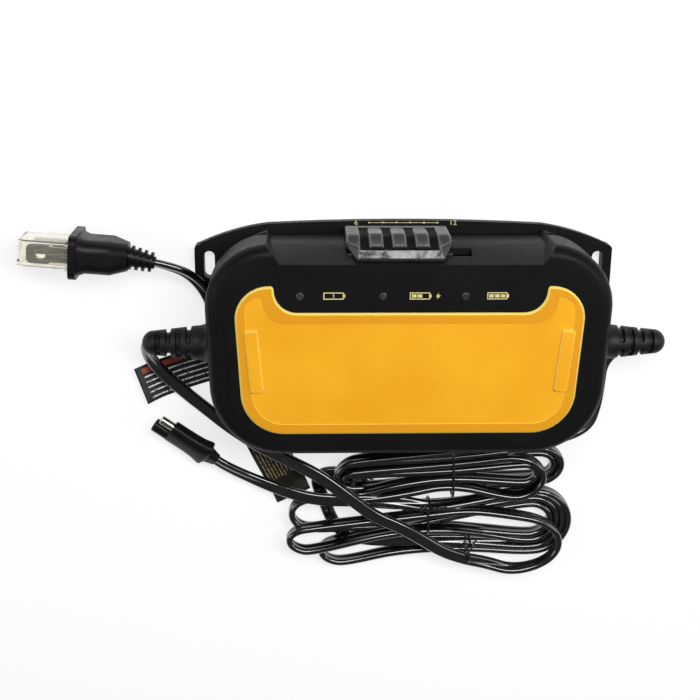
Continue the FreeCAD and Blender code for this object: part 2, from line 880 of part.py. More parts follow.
def rib_places():
    return [slider_x + rib_pitch * (i - (rib_count - 1) / 2) for i in range(rib_count)]


def selector_slider():
    start = slider_x - slider_width / 2
    end = slider_x + slider_width / 2
    knee_z = bay_knee[1]
    lip_z = knee_z + slider_lip_height
    knee_front = slider_front - slider_front_lean
    section = [
        (bay_wall_y + soft_gap, slider_foot),
        (slider_front, slider_foot),
        (knee_front, knee_z),
        (slope_y(lip_z, slider_proud + slider_lip_swell), lip_z),
        (slope_y(slider_top, slider_proud), slider_top),
        (slope_y(slider_top, soft_gap), slider_top),
        (slope_y(knee_z, soft_gap), knee_z),
    ]
    block = side_prism(section, start, end)
    for sign in (-1, 1):
        edge_x = slider_x + sign * slider_width / 2
        inner_x = edge_x - sign * slider_lip_narrowing
        wedge = [Vector(edge_x, 0, lip_z), Vector(edge_x, 0, slider_top + past),
                 Vector(inner_x, 0, slider_top + past)]
        block = block.cut(Part.Face(Part.makePolygon(wedge + wedge[:1])).extrude(Y_AXIS * case_top))
    window_half = rib_pitch * rib_count / 2 + window_margin
    window = box(slider_x - window_half, slider_x + window_half, knee_front - window_depth,
                 slider_front + past, rib_low - window_foot_margin, rib_high + past)
    block = block.cut(window)
    ribs = []
    rib_back = slider_front - window_depth - past
    for x in rib_places():
        section = [(rib_back, rib_low), (slider_front + rib_foot_rise, rib_low),
                   (slider_front + rib_head_rise, rib_high), (rib_back, rib_high)]
        rib = side_prism(section, x - rib_width / 2, x + rib_width / 2)
        ends = [e for e in rib.Edges if abs(e.BoundBox.ZMin - rib_high) < 1e-6 and e.BoundBox.YMax > slider_front
                or e.BoundBox.YMin > slider_front and e.BoundBox.ZLength > past]
        ribs.append(rib.makeFillet(rib_round, ends))
    tongue = box(start + flat_gap, end - flat_gap, tongue_inner_y, slope_y(tongue_high, 2 * soft_gap),
                 tongue_low, tongue_high)
    return block.fuse(ribs + [tongue]).removeSplitter()


def switch_actuator():
    """Plate that keeps the slider in its slot, with a fork for the switch lever."""
    back_y = tongue_inner_y - actuator_thick
    low = tongue_low - actuator_overlap
    plate = box(slider_x - actuator_width / 2, slider_x + actuator_width / 2, back_y, tongue_inner_y,
                low, tongue_high + actuator_overlap)
    near = lever_half + flat_gap
    prong_foot = switch_top() + prong_clear
    prongs = [box(x, x + prong_thick - flat_gap, back_y, tongue_inner_y, prong_foot, low)
              for x in (slider_x + near, slider_x - near - prong_thick + flat_gap)]
    return plate.fuse(prongs).removeSplitter()


def board_face():
    return board_height + board_thick


def switch_top():
    return board_face() + switch_height


def switch_lever():
    return box(slider_x - lever_half, slider_x + lever_half, tongue_inner_y - actuator_thick + lever_clear,
               tongue_inner_y - lever_clear, switch_top() - lever_reach,
               tongue_low - actuator_overlap - lever_clear)


def voltage_switch():
    middle = slider_x + slider_travel / 2
    body = box(middle - switch_half, middle + switch_half, switch_y[0], switch_y[1], board_face(), switch_top())
    half_slot = slider_travel / 2 + lever_half + flat_gap
    slot = box(middle - half_slot, middle + half_slot, tongue_inner_y - actuator_thick,
               tongue_inner_y, switch_top() - switch_slot_deep, switch_top() + past)
    return body.cut(slot)


# Inside

def circuit_board():
    board = box(-board_half, board_half, board_bottom, board_top, board_height, board_face())
    notches = [upright(x, y, 0, case_height, boss_radius + board_notch_clear) for x, y in case_screw_points()]
    holes = [upright(x, y, 0, case_height, board_screw_radius + run_gap) for x, y in board_post_points()]
    return board.cut(notches + holes)


def headed_screw(x, y, head_low, head_high, head_radius, shank_end, shank_radius):
    low, high = sorted((head_high if shank_end > head_high else head_low, shank_end))
    return upright(x, y, head_low, head_high, head_radius).fuse(
        upright(x, y, low, high, shank_radius)).removeSplitter()


def case_screws():
    low = case_screw_sink - case_screw_head_thick
    return [headed_screw(x, y, low, case_screw_sink, case_screw_head, case_screw_sink + case_screw_length,
                         case_screw_radius) for x, y in case_screw_points()]


def board_screws():
    low = board_face()
    return [headed_screw(x, y, low, low + board_screw_head_thick, board_screw_head, wall + board_screw_foot,
                         board_screw_radius) for x, y in board_post_points()]


def transformer():
    """Core with two windows, and the winding block round its middle leg."""
    low = board_face()
    x, y = transformer_place
    length, width, height = transformer_size
    leg = transformer_leg
    core = box(x - length / 2, x + length / 2, y - width / 4, y + width / 4, low, low + height)
    for sign in (-1, 1):
        inner = x + sign * leg / 2
        outer = x + sign * (length / 2 - leg / 2)
        core = core.cut(box(min(inner, outer), max(inner, outer), y - width, y + width,
                            low + leg / 2, low + height - leg / 2))
    winding_half = length / 2 - leg / 2 - flat_gap
    winding = box(x - winding_half, x + winding_half, y - width / 2, y + width / 2,
                  low + leg / 2 + flat_gap, low + height - leg / 2 - flat_gap)
    hole = box(x - leg / 2 - flat_gap, x + leg / 2 + flat_gap, y - width / 4 - flat_gap,
               y + width / 4 + flat_gap, low, low + height)
    return core, winding.cut(hole)


def can(x, y, radius, height):
    """Standing capacitor with a bead rolled into its sleeve."""
    low = board_face()
    bead_height, bead_width, bead_depth = can_bead
    body = upright(x, y, low, low + height, radius)
    bead_low = low + bead_height
    bead_high = bead_low + bead_width
    groove = upright(x, y, bead_low, bead_high, radius + past).cut(
        upright(x, y, bead_low, bead_high, radius - bead_depth))
    return body.cut(groove)


def choke():
    low = board_face()
    x, y = choke_place
    radius, height = choke_size
    hub = radius / 2
    spool = upright(x, y, low, low + choke_flange, radius)
    spool = spool.fuse([upright(x, y, low, low + height, hub),
                        upright(x, y, low + height - choke_flange, low + height, radius)]).removeSplitter()
    coil = upright(x, y, low + choke_flange, low + height - choke_flange, radius - choke_coil_in)
    return spool, coil.cut(upright(x, y, low, low + height, hub + run_gap))


def heat_sink(x, y, length, height, fins):
    low = board_face()
    first = x - length / 2
    sink = box(first, first + length, y, y + sink_back, low, low + height)
    pitch = (length - sink_fin) / (fins - 1)
    ribs = [box(first + i * pitch, first + i * pitch + sink_fin, y + sink_back, y + sink_depth,
                low, low + height) for i in range(fins)]
    return sink.fuse(ribs).removeSplitter()


def power_device(sink):
    """Tab and body clamped to a heat sink, on three legs."""
    low = board_face()
    x, y = sink[:2]
    foot = low + device_leg
    tab = box(x - device_half, x + device_half, y - device_tab_thick, y, foot, low + device_tab_top)
    body = box(x - device_half, x + device_half, y - device_thick, y - device_tab_thick, foot,
               low + device_body_top)
    leg_places = [x + device_leg_pitch * i for i in (-1, 0, 1)]
    legs = [box(leg - device_leg_half, leg + device_leg_half, y - device_leg_y[0], y - device_leg_y[1],
                low, foot) for leg in leg_places]
    return tab.fuse([body] + legs).removeSplitter()


def standing_box(plan, height):
    """Block on the board from its x and y limits."""
    return box(*plan, board_face(), board_face() + height)


def fuse_parts():
    """Glass tube fuse with its two end clips."""
    low = board_face()
    x, y = fuse_place
    axis = low + fuse_axis
    half_y = fuse_radius + clip_wall
    tube = along_x(x - fuse_length / 2, x + fuse_length / 2, y, axis, fuse_radius)
    clips = []
    for sign in (-1, 1):
        middle = x + sign * (fuse_length / 2 - clip_inset)
        block = box(middle - clip_half, middle + clip_half, y - half_y, y + half_y, low, axis + clip_over)
        clips.append(block.cut(along_x(middle - clip_half - past, middle + clip_half + past, y, axis,
                                       fuse_radius + run_gap)))
    return tube, clips


def chip():
    low = board_face()
    x, y = chip_place
    half_x, half_y = chip_half
    body = box(x - half_x, x + half_x, y - half_y, y + half_y, low + chip_low, low + chip_high)
    leg_places = [x + chip_leg_pitch * (i - (chip_legs - 1) / 2) for i in range(chip_legs)]
    legs = [box(leg - chip_leg_half, leg + chip_leg_half, y - chip_leg_reach, y + chip_leg_reach,
                low, low + chip_leg_height) for leg in leg_places]
    return body.fuse(legs).removeSplitter()


def lamp_chips():
    low = board_face()
    return [upright(x, lamp_y, low, low + lamp_chip_height, lamp_radius) for x in lamp_places()]


def inner_wires(side):
    """Two wires from a strain relief down to the board."""
    wires = []
    start_x = relief_clamp_inner - relief_flange_thick
    over = board_face() + inner_wire_over
    end_x = start_x - inner_wire_end
    for y in (relief_y - inner_wire_offset, relief_y + inner_wire_offset):
        points = [(start_x, y, relief_z), (start_x - inner_wire_run, y, relief_z),
                  (start_x - inner_wire_drop, y, over), (end_x, y, over), (end_x, y, board_face())]
        points = [Vector(side * px, py, pz) for px, py, pz in points]
        bends = [corner_arc(a, b, c, inner_wire_bend) for a, b, c in zip(points, points[1:], points[2:])]
        edges = []
        at = points[0]
        for bend_start, bend_middle, bend_end in bends:
            if at.distanceToPoint(bend_start) > 1e-4:
                edges.append(Part.LineSegment(at, bend_start).toShape())
            edges.append(Part.Arc(bend_start, bend_middle, bend_end).toShape())
            at = bend_end
        edges.append(Part.LineSegment(at, points[-1]).toShape())
        ring = Part.Wire(Part.Circle(points[0], X_AXIS, wire_radius).toShape())
        wires.append(Part.Wire(edges).makePipeShell([ring], True, False))
    return wires


# Strain reliefs

def strain_relief(side):
    """Ribbed rubber sleeve whose neck is clamped in the case wall."""
    inner_end = relief_clamp_inner - relief_flange_thick
    profile = [
        (inner_end, 0),
        (inner_end, relief_flange),
        (relief_clamp_inner, relief_flange),
        (relief_clamp_inner, relief_neck),
        (relief_seat, relief_neck),
        (relief_seat, relief_collar),
    ]
    profile += [(case_half + reach, radius) for reach, radius in relief_flare]
    profile += [
        (relief_groove_first - relief_groove_width, relief_root),
        (relief_tip - relief_tip_round, relief_end),
        (relief_tip, relief_end - relief_tip_round),
        (relief_tip, 0),
    ]
    body = turned_profile(profile, 1)
    for i in range(relief_groove_count):
        start = relief_groove_first + i * relief_groove_pitch
        share = (start - relief_groove_first) / (relief_tip - relief_groove_first)
        depth = relief_root + (relief_end - relief_root) * share - relief_groove_deep
        ring = along_x(start, start + relief_groove_width, 0, 0, relief_flange)
        ring = ring.cut(along_x(start - past, start + 2 * relief_groove_width, 0, 0, depth))
        half = relief_web / 2
        if i % 2 == 0:
            web = box(start - past, start + 2 * relief_groove_width, -half, half, -relief_flange, relief_flange)
        else:
            web = box(start - past, start + 2 * relief_groove_width, -relief_flange, relief_flange, -half, half)
        body = body.cut(ring.cut(web))
    body = body.cut(along_x(relief_cord_start, relief_tip + past, 0, 0, cord_radius + run_gap))
    body = body.removeSplitter()
    body.translate(Vector(0, relief_y, relief_z))
    return body if side > 0 else mirrored(body)


# Mains plug, in its own frame: the blades point along -X from the flange's face

def blade(height, wide):
    """Flat blade with a hole near its tip; the polarised one widens towards the tip."""
    root = blade_narrow / 2
    tip = blade_wide / 2 if wide else root
    corners = [(0, root, 0), (-blade_length, tip, blade_tip_round), (-blade_length, -tip, blade_tip_round),
               (0, -root, 0)]
    if wide:
        step = -blade_length * blade_widening
        corners[1:1] = [(step, root, 0), (step - (tip - root), tip, 0)]
        corners[-1:-1] = [(step - (tip - root), -tip, 0), (step, -root, 0)]
    low = height - blade_thick / 2
    flat = plate_from(corners, low, low + blade_thick)
    return flat.cut(upright(-blade_length + blade_hole_from_tip, 0, low - past, low + blade_thick + past,
                            blade_hole_radius))


def rounded_section(width, height, radius):
    """Corners of an outline centred on the origin."""
    half_w = width / 2
    half_h = height / 2
    return [(half_w, -half_h, radius), (half_w, half_h, radius), (-half_w, half_h, radius),
            (-half_w, -half_h, radius)]


def rounded_block(x0, x1, width, height, radius):
    """Block along X with its long edges rounded."""
    block = plate_from(rounded_section(width, height, radius), 0, x1 - x0)
    block.Placement = FreeCAD.Placement(Vector(x0, 0, 0), along_x_frame)
    return block


def plug_body():
    flange = rounded_block(0, flange_thick, flange_width, flange_height, flange_round)
    end_width, end_height = [plug_relief_root * 2 + over for over in plug_end_over]
    sections = [
        (flange_thick, plug_body_width + plug_body_swell, plug_body_height + plug_body_swell, plug_body_round),
        (flange_thick + plug_swell_length, plug_body_width, plug_body_height, plug_body_round),
        (plug_shoulder, plug_body_width, plug_body_height, plug_body_round),
        (plug_body_length, end_width, end_height, plug_end_round),
    ]
    outlines = []
    for x, width, height, radius in sections:
        ring = rounded_wire(rounded_section(width, height, radius))
        ring.Placement = FreeCAD.Placement(Vector(x, 0, 0), along_x_frame)
        outlines.append(ring)
    body = Part.makeLoft(outlines, True, True)
    groove_y = -plug_body_width / 2
    grooves = []
    for i in range(plug_groove_count):
        start = flange_thick + plug_groove_first + plug_groove_pitch * i
        grooves.append(box(start, start + plug_groove_width, groove_y - past, groove_y + plug_groove_deep,
                           -plug_body_height / 4, plug_body_height / 4))
    relief = placed(plug_relief(), Vector(plug_body_length - plug_relief_sink, 0, 0), plug_relief_turn)
    slots = [box(-past, blade_root_depth, -blade_narrow / 2, blade_narrow / 2, z - blade_thick / 2,
                 z + blade_thick / 2) for z in (-blade_pitch / 2, blade_pitch / 2)]
    return flange.fuse([body, relief]).cut(grooves + slots).removeSplitter()


def plug_relief():
    """Ribbed tail of the plug, as a turned sleeve with discs."""
    root_core, end_core = plug_relief_core
    profile = [(0, 0), (0, plug_relief_root - root_core), (plug_relief_length, plug_relief_end - end_core),
               (plug_relief_length, 0)]
    tail = turned_profile(profile, 1)
    discs = []
    for i in range(plug_rib_count):
        start = plug_rib_first + i * plug_rib_pitch
        radius = plug_relief_root + (plug_relief_end - plug_relief_root) * start / plug_relief_length
        discs.append(along_x(start, start + plug_rib_width, 0, 0, radius))
    return tail.fuse(discs)


def plug_blades():
    blades = []
    for height, wide in ((blade_pitch / 2, True), (-blade_pitch / 2, False)):
        root = box(0, blade_root_depth, -blade_narrow / 2, blade_narrow / 2, height - blade_thick / 2,
                   height + blade_thick / 2)
        blades.append(blade(height, wide).fuse(root).removeSplitter())
    return blades


def blade_cover():
    outer = rounded_block(-cover_length - flat_gap, -flat_gap, cover_width, cover_height, cover_round)
    inner = rounded_block(-cover_length - flat_gap + cover_wall, past, cover_width - 2 * cover_wall,
                          cover_height - 2 * cover_wall, cover_round - cover_wall)
    lip = rounded_block(-flat_gap - cover_lip_length, -flat_gap, cover_width + 2 * cover_lip,
                        cover_height + 2 * cover_lip, cover_round)
    return outer.fuse(lip).cut(inner).removeSplitter()


# Output connector, in its own frame: the tip is at the origin and the cord end at +X

def connector_body():
    body_start = connector_pin_length
    body_end = body_start + connector_body_length
    half = connector_pitch / 2
    block = rounded_block(body_start, body_end, connector_body_width, connector_body_thick,
                          connector_body_round)
    sheath = along_x(0, body_start + past, -half, 0, connector_sheath_radius)
    grip = rounded_block(body_end - connector_grip_length, body_end, connector_body_width + 2 * connector_grip_over,
                         connector_body_thick + connector_grip_over, connector_grip_round)
    neck = Part.makeCone(connector_neck_radius, cord_radius + connector_neck_wall, connector_neck_length,
                         Vector(body_end, 0, 0), X_AXIS)
    bore = along_x(-past, connector_bore_depth + connector_socket_length, -half, 0, connector_socket_radius)
    pin_hole = along_x(body_start - past, body_start + connector_root_length + connector_root_room, half, 0,
                       connector_root_radius)
    return block.fuse([sheath, grip, neck]).cut([bore, pin_hole]).removeSplitter()


def connector_pin():
    """Bare pin, and the thinner root that is moulded into the body."""
    half = connector_pitch / 2
    pin = along_x(connector_pin_tip, connector_pin_length, half, 0, connector_pin_radius)
    root = along_x(connector_pin_length, connector_pin_length + connector_root_length, half, 0,
                   connector_root_radius)
    return pin.fuse(root)


def connector_socket():
    """Metal sleeve inside the covered prong."""
    outer = along_x(connector_pin_tip, connector_bore_depth + connector_socket_length, -connector_pitch / 2, 0,
                    connector_socket_radius)
    return outer.cut(along_x(0, connector_bore_depth, -connector_pitch / 2, 0, connector_bore_radius))


def on_plug(shape):
    return placed(shape, plug_face, plug_turn)


def on_connector(shape):
    return placed(shape, connector_tip, connector_turn, connector_roll)


# Ties and tags

def bundle(strands, x, middle_y, sides):
    """Y range of the strands that pass x on the given sides of a hank's middle."""
    near = [p.y for p in strands if abs(p.x - x) < tie_width and (p.y > middle_y) * 2 - 1 in sides]
    return min(near), max(near)


def strip_outline(half, low, high, radius):
    return [(half[1], low, radius), (half[1], high, radius), (half[0], high, radius), (half[0], low, radius)]


def tie_loop(x, reach):
    """Flat strip wrapped once round a bundle of strands."""
    inner = cord_radius + tie_clear
    outer = inner + tie_thick
    low = hank_lift - tie_clear
    high = hank_lift + cord_diameter + hank_layer + tie_clear
    hollow = strip_outline((reach[0] - inner, reach[1] + inner), low, high, tie_round)
    around = strip_outline((reach[0] - outer, reach[1] + outer), low - tie_thick, high + tie_thick,
                           tie_round + tie_thick)
    band = plate_from(around, 0, tie_width).cut(plate_from(hollow, -past, tie_width + past))
    band.Placement = FreeCAD.Placement(Vector(x - tie_width / 2, 0, 0), along_x_frame)
    return band


def tag(corner, size, turn, along_sign):
    """Thin card lying under a cord, from one corner of its outline."""
    card = box(0, size[0], min(0, along_sign * size[1]), max(0, along_sign * size[1]), 0, tag_thick)
    return placed(card, Vector(corner[0], corner[1], tag_lift), turn)


# Build

os.makedirs("parts", exist_ok=True)
nodes = {}

save("back_shell", back_shell())
save("front_shell", front_shell())
save("face_plate", face_plate())
for lamp_name, lamp_x in zip(("left", "middle", "right"), lamp_places()):
    save("led_lens_" + lamp_name, lamp_pipe(lamp_x))
save("status_leds", *lamp_chips())
save("selector_slider", selector_slider())
save("switch_actuator", switch_actuator())
save("switch_lever", switch_lever())
save("voltage_switch", voltage_switch())
save("circuit_board", circuit_board())
save("case_screws", *case_screws())
save("board_screws", *board_screws())

core, winding = transformer()
save("transformer_core", core)
save("transformer_winding", winding)
save("input_capacitor", can(*input_can))
save("output_capacitors", *[can(*place) for place in output_cans])
choke_core, choke_coil = choke()
save("choke_core", choke_core)
save("choke_winding", choke_coil)
save("heat_sink", heat_sink(*main_sink))
save("power_transistor", power_device(main_sink))
save("output_diode", power_device(diode_sink))
save("diode_heat_sink", heat_sink(*diode_sink))
save("bridge_rectifier", standing_box(bridge_box, bridge_height))
fuse_tube, fuse_clips = fuse_parts()
save("fuse", fuse_tube)
save("fuse_clips", *fuse_clips)
save("film_capacitor", standing_box(film_box, film_height))
save("control_chip", chip())
save("ac_wires", *inner_wires(1))
save("dc_wires", *inner_wires(-1))

save("ac_strain_relief", strain_relief(1))
save("dc_strain_relief", strain_relief(-1))

save("plug_body", on_plug(plug_body()))
wide_blade, narrow_blade = plug_blades()
save("plug_wide_blade", on_plug(wide_blade))
save("plug_narrow_blade", on_plug(narrow_blade))
save("plug_blade_cover", on_plug(blade_cover()))
save("dc_connector_body", on_connector(connector_body()))
save("dc_connector_pin", on_connector(connector_pin()))
save("dc_connector_socket", on_connector(connector_socket()))

relief_out = place_point(Vector(plug_relief_length, 0, 0), Vector(plug_body_length - plug_relief_sink, 0, 0),
                         plug_relief_turn)
plug_end = place_point(relief_out, plug_face, plug_turn)
connector_end = place_point(Vector(connector_pin_length + connector_body_length + connector_neck_length, 0, 0),
                            connector_tip, connector_turn)

ac_keys = hank_route(ac_hank_middle, ac_hank_run, ac_hank_inner, ac_hank_draw, ac_hank_first_key, True,
                     ac_hank_in_keys, ac_hank_out_keys, True)
ac_hank, ac_hank_start, ac_hank_end, ac_strands = hank_solid("ac_hank", ac_keys)
dc_keys = hank_route(dc_hank_middle, dc_hank_run, dc_hank_inner, dc_hank_draw, dc_hank_first_key, False,
                     dc_hank_in_keys, dc_hank_out_keys, False)
dc_hank, dc_hank_start, dc_hank_end, dc_strands = hank_solid("dc_hank", dc_keys)
save("ac_hank", ac_hank)
save("dc_hank", dc_hank)

right_tip = Vector(relief_cord_start, relief_y, relief_z)
left_tip = Vector(-relief_cord_start, relief_y, relief_z)
into_hank = X_AXIS * entry_run
lead("ac_plug_lead", plug_end, level(plug_turn + plug_relief_turn) * exit_run, ac_plug_route,
     into_hank, ac_hank_start)
lead("ac_body_lead", right_tip, X_AXIS * relief_run, ac_body_route, into_hank * -1, ac_hank_end)
lead("dc_body_lead", left_tip, X_AXIS * -relief_run, dc_body_route, into_hank, dc_hank_start)
lead("dc_connector_lead", connector_end, level(connector_turn) * exit_run, dc_connector_route,
     into_hank, dc_hank_end)

save("ac_hank_tie", tie_loop(ac_tie_x, bundle(ac_strands, ac_tie_x, ac_hank_middle[1], (-1, 1))))
save("dc_hank_tie", tie_loop(dc_tie_x, bundle(dc_strands, dc_tie_x, dc_hank_middle[1], (-1, 1))))
save("dc_hank_second_tie", tie_loop(dc_second_tie_x, bundle(dc_strands, dc_second_tie_x,
                                                           dc_hank_middle[1], (-1,))))
save("cord_tag_left", tag(left_tag_corner, left_tag_size, left_tag_turn, -1))
save("cord_tag_lower", tag(lower_tag_corner, lower_tag_size, lower_tag_turn, 1))

whole = Part.makeCompound(list(nodes.values()))
print(len(nodes), "nodes", whole.BoundBox)
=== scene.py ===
# %% [markdown]
# # A battery charger with two hanked cords
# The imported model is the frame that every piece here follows. Its solids already have the right
# sizes, so this script makes what solids can't show well: limp cords, soft edges and surface finish.

# %% The frame
import math

import bmesh
import bpy
import numpy as np
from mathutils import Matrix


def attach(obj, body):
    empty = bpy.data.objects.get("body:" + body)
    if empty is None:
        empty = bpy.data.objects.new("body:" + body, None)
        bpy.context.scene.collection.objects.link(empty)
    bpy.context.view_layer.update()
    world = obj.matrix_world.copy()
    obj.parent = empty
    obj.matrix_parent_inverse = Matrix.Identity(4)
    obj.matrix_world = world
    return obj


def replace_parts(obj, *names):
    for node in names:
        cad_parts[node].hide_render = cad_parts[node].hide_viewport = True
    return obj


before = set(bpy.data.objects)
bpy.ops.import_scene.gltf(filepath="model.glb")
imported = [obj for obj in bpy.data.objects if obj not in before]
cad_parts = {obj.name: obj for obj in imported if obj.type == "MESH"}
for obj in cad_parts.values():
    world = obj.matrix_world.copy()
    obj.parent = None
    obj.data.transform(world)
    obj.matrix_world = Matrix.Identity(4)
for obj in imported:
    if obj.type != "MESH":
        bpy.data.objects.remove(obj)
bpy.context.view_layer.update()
scene = bpy.context.scene

# %% [markdown]
# The camera stands where it stood for the photograph: about half a metre above the table, a little
# past the selector side, looking down. It was worked out from the plug, the case and the face plate.

# %% Camera
camera_place = (-0.04339, 0.14593, 0.49502)
camera_turn = (-17.681, -2.283, 0.526)
camera_lens = 61.714
camera_sensor = 36.0
camera_near = 0.01

camera = bpy.data.objects.new("camera", bpy.data.cameras.new("camera"))
camera.data.lens = camera_lens
camera.data.sensor_width = camera_sensor
camera.data.clip_start = camera_near
camera.location = camera_place
camera.rotation_euler = [math.radians(angle) for angle in camera_turn]
scene.collection.objects.link(camera)
scene.camera = camera
print("camera at", camera_place)

# %% [markdown]
# A few helpers put arrays into meshes. A surface is a grid of points, with rows along it and columns
# around it, and its faces are found by counting. One helper links a finished piece to the body that
# carries it. Long tables of points read best in millimetres, and are divided by a thousand.

# %% Meshes from arrays
mm_per_metre = 1000.0
merge_distance = 1e-6
flat_angle = math.radians(0.6)
usual_sharp_angle = 35.0
never_sharp = 180.0


def grid_faces(rows, columns, around, capped):
    """Quads between neighbouring rows and columns, and a many-sided face over each open end."""
    last = columns if around else columns - 1
    row, column = np.meshgrid(np.arange(rows - 1), np.arange(last), indexing="ij")
    after = (column + 1) % columns
    quads = [row * columns + column, row * columns + after,
             (row + 1) * columns + after, (row + 1) * columns + column]
    faces = np.stack(quads, axis=-1).reshape(-1, 4).tolist()
    if capped:
        first = np.arange(columns)
        faces += [first[::-1].tolist(), (first + (rows - 1) * columns).tolist()]
    return faces


def metres(table):
    """Array of a table in millimetres."""
    return np.array(table) / mm_per_metre


def full_turn(count):
    """Evenly spaced angles all the way round."""
    return np.linspace(0, 2 * math.pi, count, endpoint=False)


def new_mesh(name, points, faces):
    """Mesh from an array of points and a list of faces."""
    mesh = bpy.data.meshes.new(name)
    mesh.from_pydata(points.reshape(-1, 3).tolist(), [], faces)
    return mesh


def mended(mesh, *steps):
    """Does some of three steps: merge joins equal points, flatten joins faces that lie in one
    plane, and turn makes the faces of closed shells look outwards."""
    work = bmesh.new()
    work.from_mesh(mesh)
    if "merge" in steps:
        bmesh.ops.remove_doubles(work, verts=work.verts[:], dist=merge_distance)
    if "flatten" in steps:
        bmesh.ops.dissolve_limit(work, angle_limit=flat_angle, verts=work.verts[:], edges=work.edges[:])
    if "turn" in steps:
        bmesh.ops.recalc_face_normals(work, faces=work.faces[:])
    work.to_mesh(mesh)
    work.free()
    return mesh


def points_and_faces(curve):
    """What a curve or a text looks like as a mesh. The curve itself is removed."""
    holder = bpy.data.objects.new(curve.name, curve)
    scene.collection.objects.link(holder)
    bpy.context.view_layer.update()
    read = bpy.data.meshes.new_from_object(holder)
    points = np.empty(len(read.vertices) * 3)
    read.vertices.foreach_get("co", points)
    faces = [tuple(face.vertices) for face in read.polygons]
    bpy.data.objects.remove(holder)
    bpy.data.curves.remove(curve)
    bpy.data.meshes.remove(read)
    return points.reshape(-1, 3), faces


def own_map(mesh, first, second):
    """A map of the mesh's own that carries two values at each point."""
    corner_of = np.empty(len(mesh.loops), dtype=int)
    mesh.loops.foreach_get("vertex_index", corner_of)
    values = np.stack([first.ravel(), second.ravel()], axis=1)
    layer = mesh.uv_layers.new(name="own_map")
    layer.data.foreach_set("uv", values[corner_of].ravel())


def new_piece(name, mesh, body, finish, sharp_angle=usual_sharp_angle):
    """Object at the origin with its finish, smooth except over sharp edges, riding on a body."""
    mesh.polygons.foreach_set("use_smooth", np.ones(len(mesh.polygons), dtype=bool))
    mesh.set_sharp_from_angle(angle=math.radians(sharp_angle))
    mesh.materials.clear()
    mesh.materials.append(finish.material)
    piece = bpy.data.objects.new(name, mesh)
    scene.collection.objects.link(piece)
    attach(piece, body)
    return piece


def surface(name, grid, body, finish, around=True, capped=True, sharp_angle=usual_sharp_angle):
    """Piece over a grid of points of shape rows, columns, 3."""
    faces = grid_faces(*grid.shape[:2], around, capped)
    mesh = mended(new_mesh(name, grid, faces), "turn")
    return new_piece(name, mesh, body, finish, sharp_angle)


def soft_step(value, edge, softness):
    """0 below an edge and 1 above it, along the curve 3t^2 - 2t^3."""
    t = np.clip((value - edge) / (2 * softness) + 0.5, 0, 1)
    return t * t * (3 - 2 * t)


print("mesh helpers ready")

# %% [markdown]
# Shader maths reads better as Python sums. A Shade is one value that changes over a surface, and
# adding or multiplying Shades adds the nodes that do it. A Finish is one material: constants go on
# its shader's own sockets, and only what varies is linked. A noise mostly stays between a low and a
# high value, so patterns are stretched between these two.

# %% Shader helpers
noise_low = 0.3
noise_high = 0.7


class Shade:
    """A socket of a finish's node tree that takes part in sums."""

    def __init__(self, finish, socket):
        self.finish = finish
        self.socket = socket

    def math(self, operation, first, second):
        return self.finish.shade("ShaderNodeMath", {0: first, 1: second}, operation=operation)

    def __add__(self, other):
        return self.math("ADD", self, other)

    def __sub__(self, other):
        return self.math("SUBTRACT", self, other)

    def __mul__(self, other):
        return self.math("MULTIPLY", self, other)


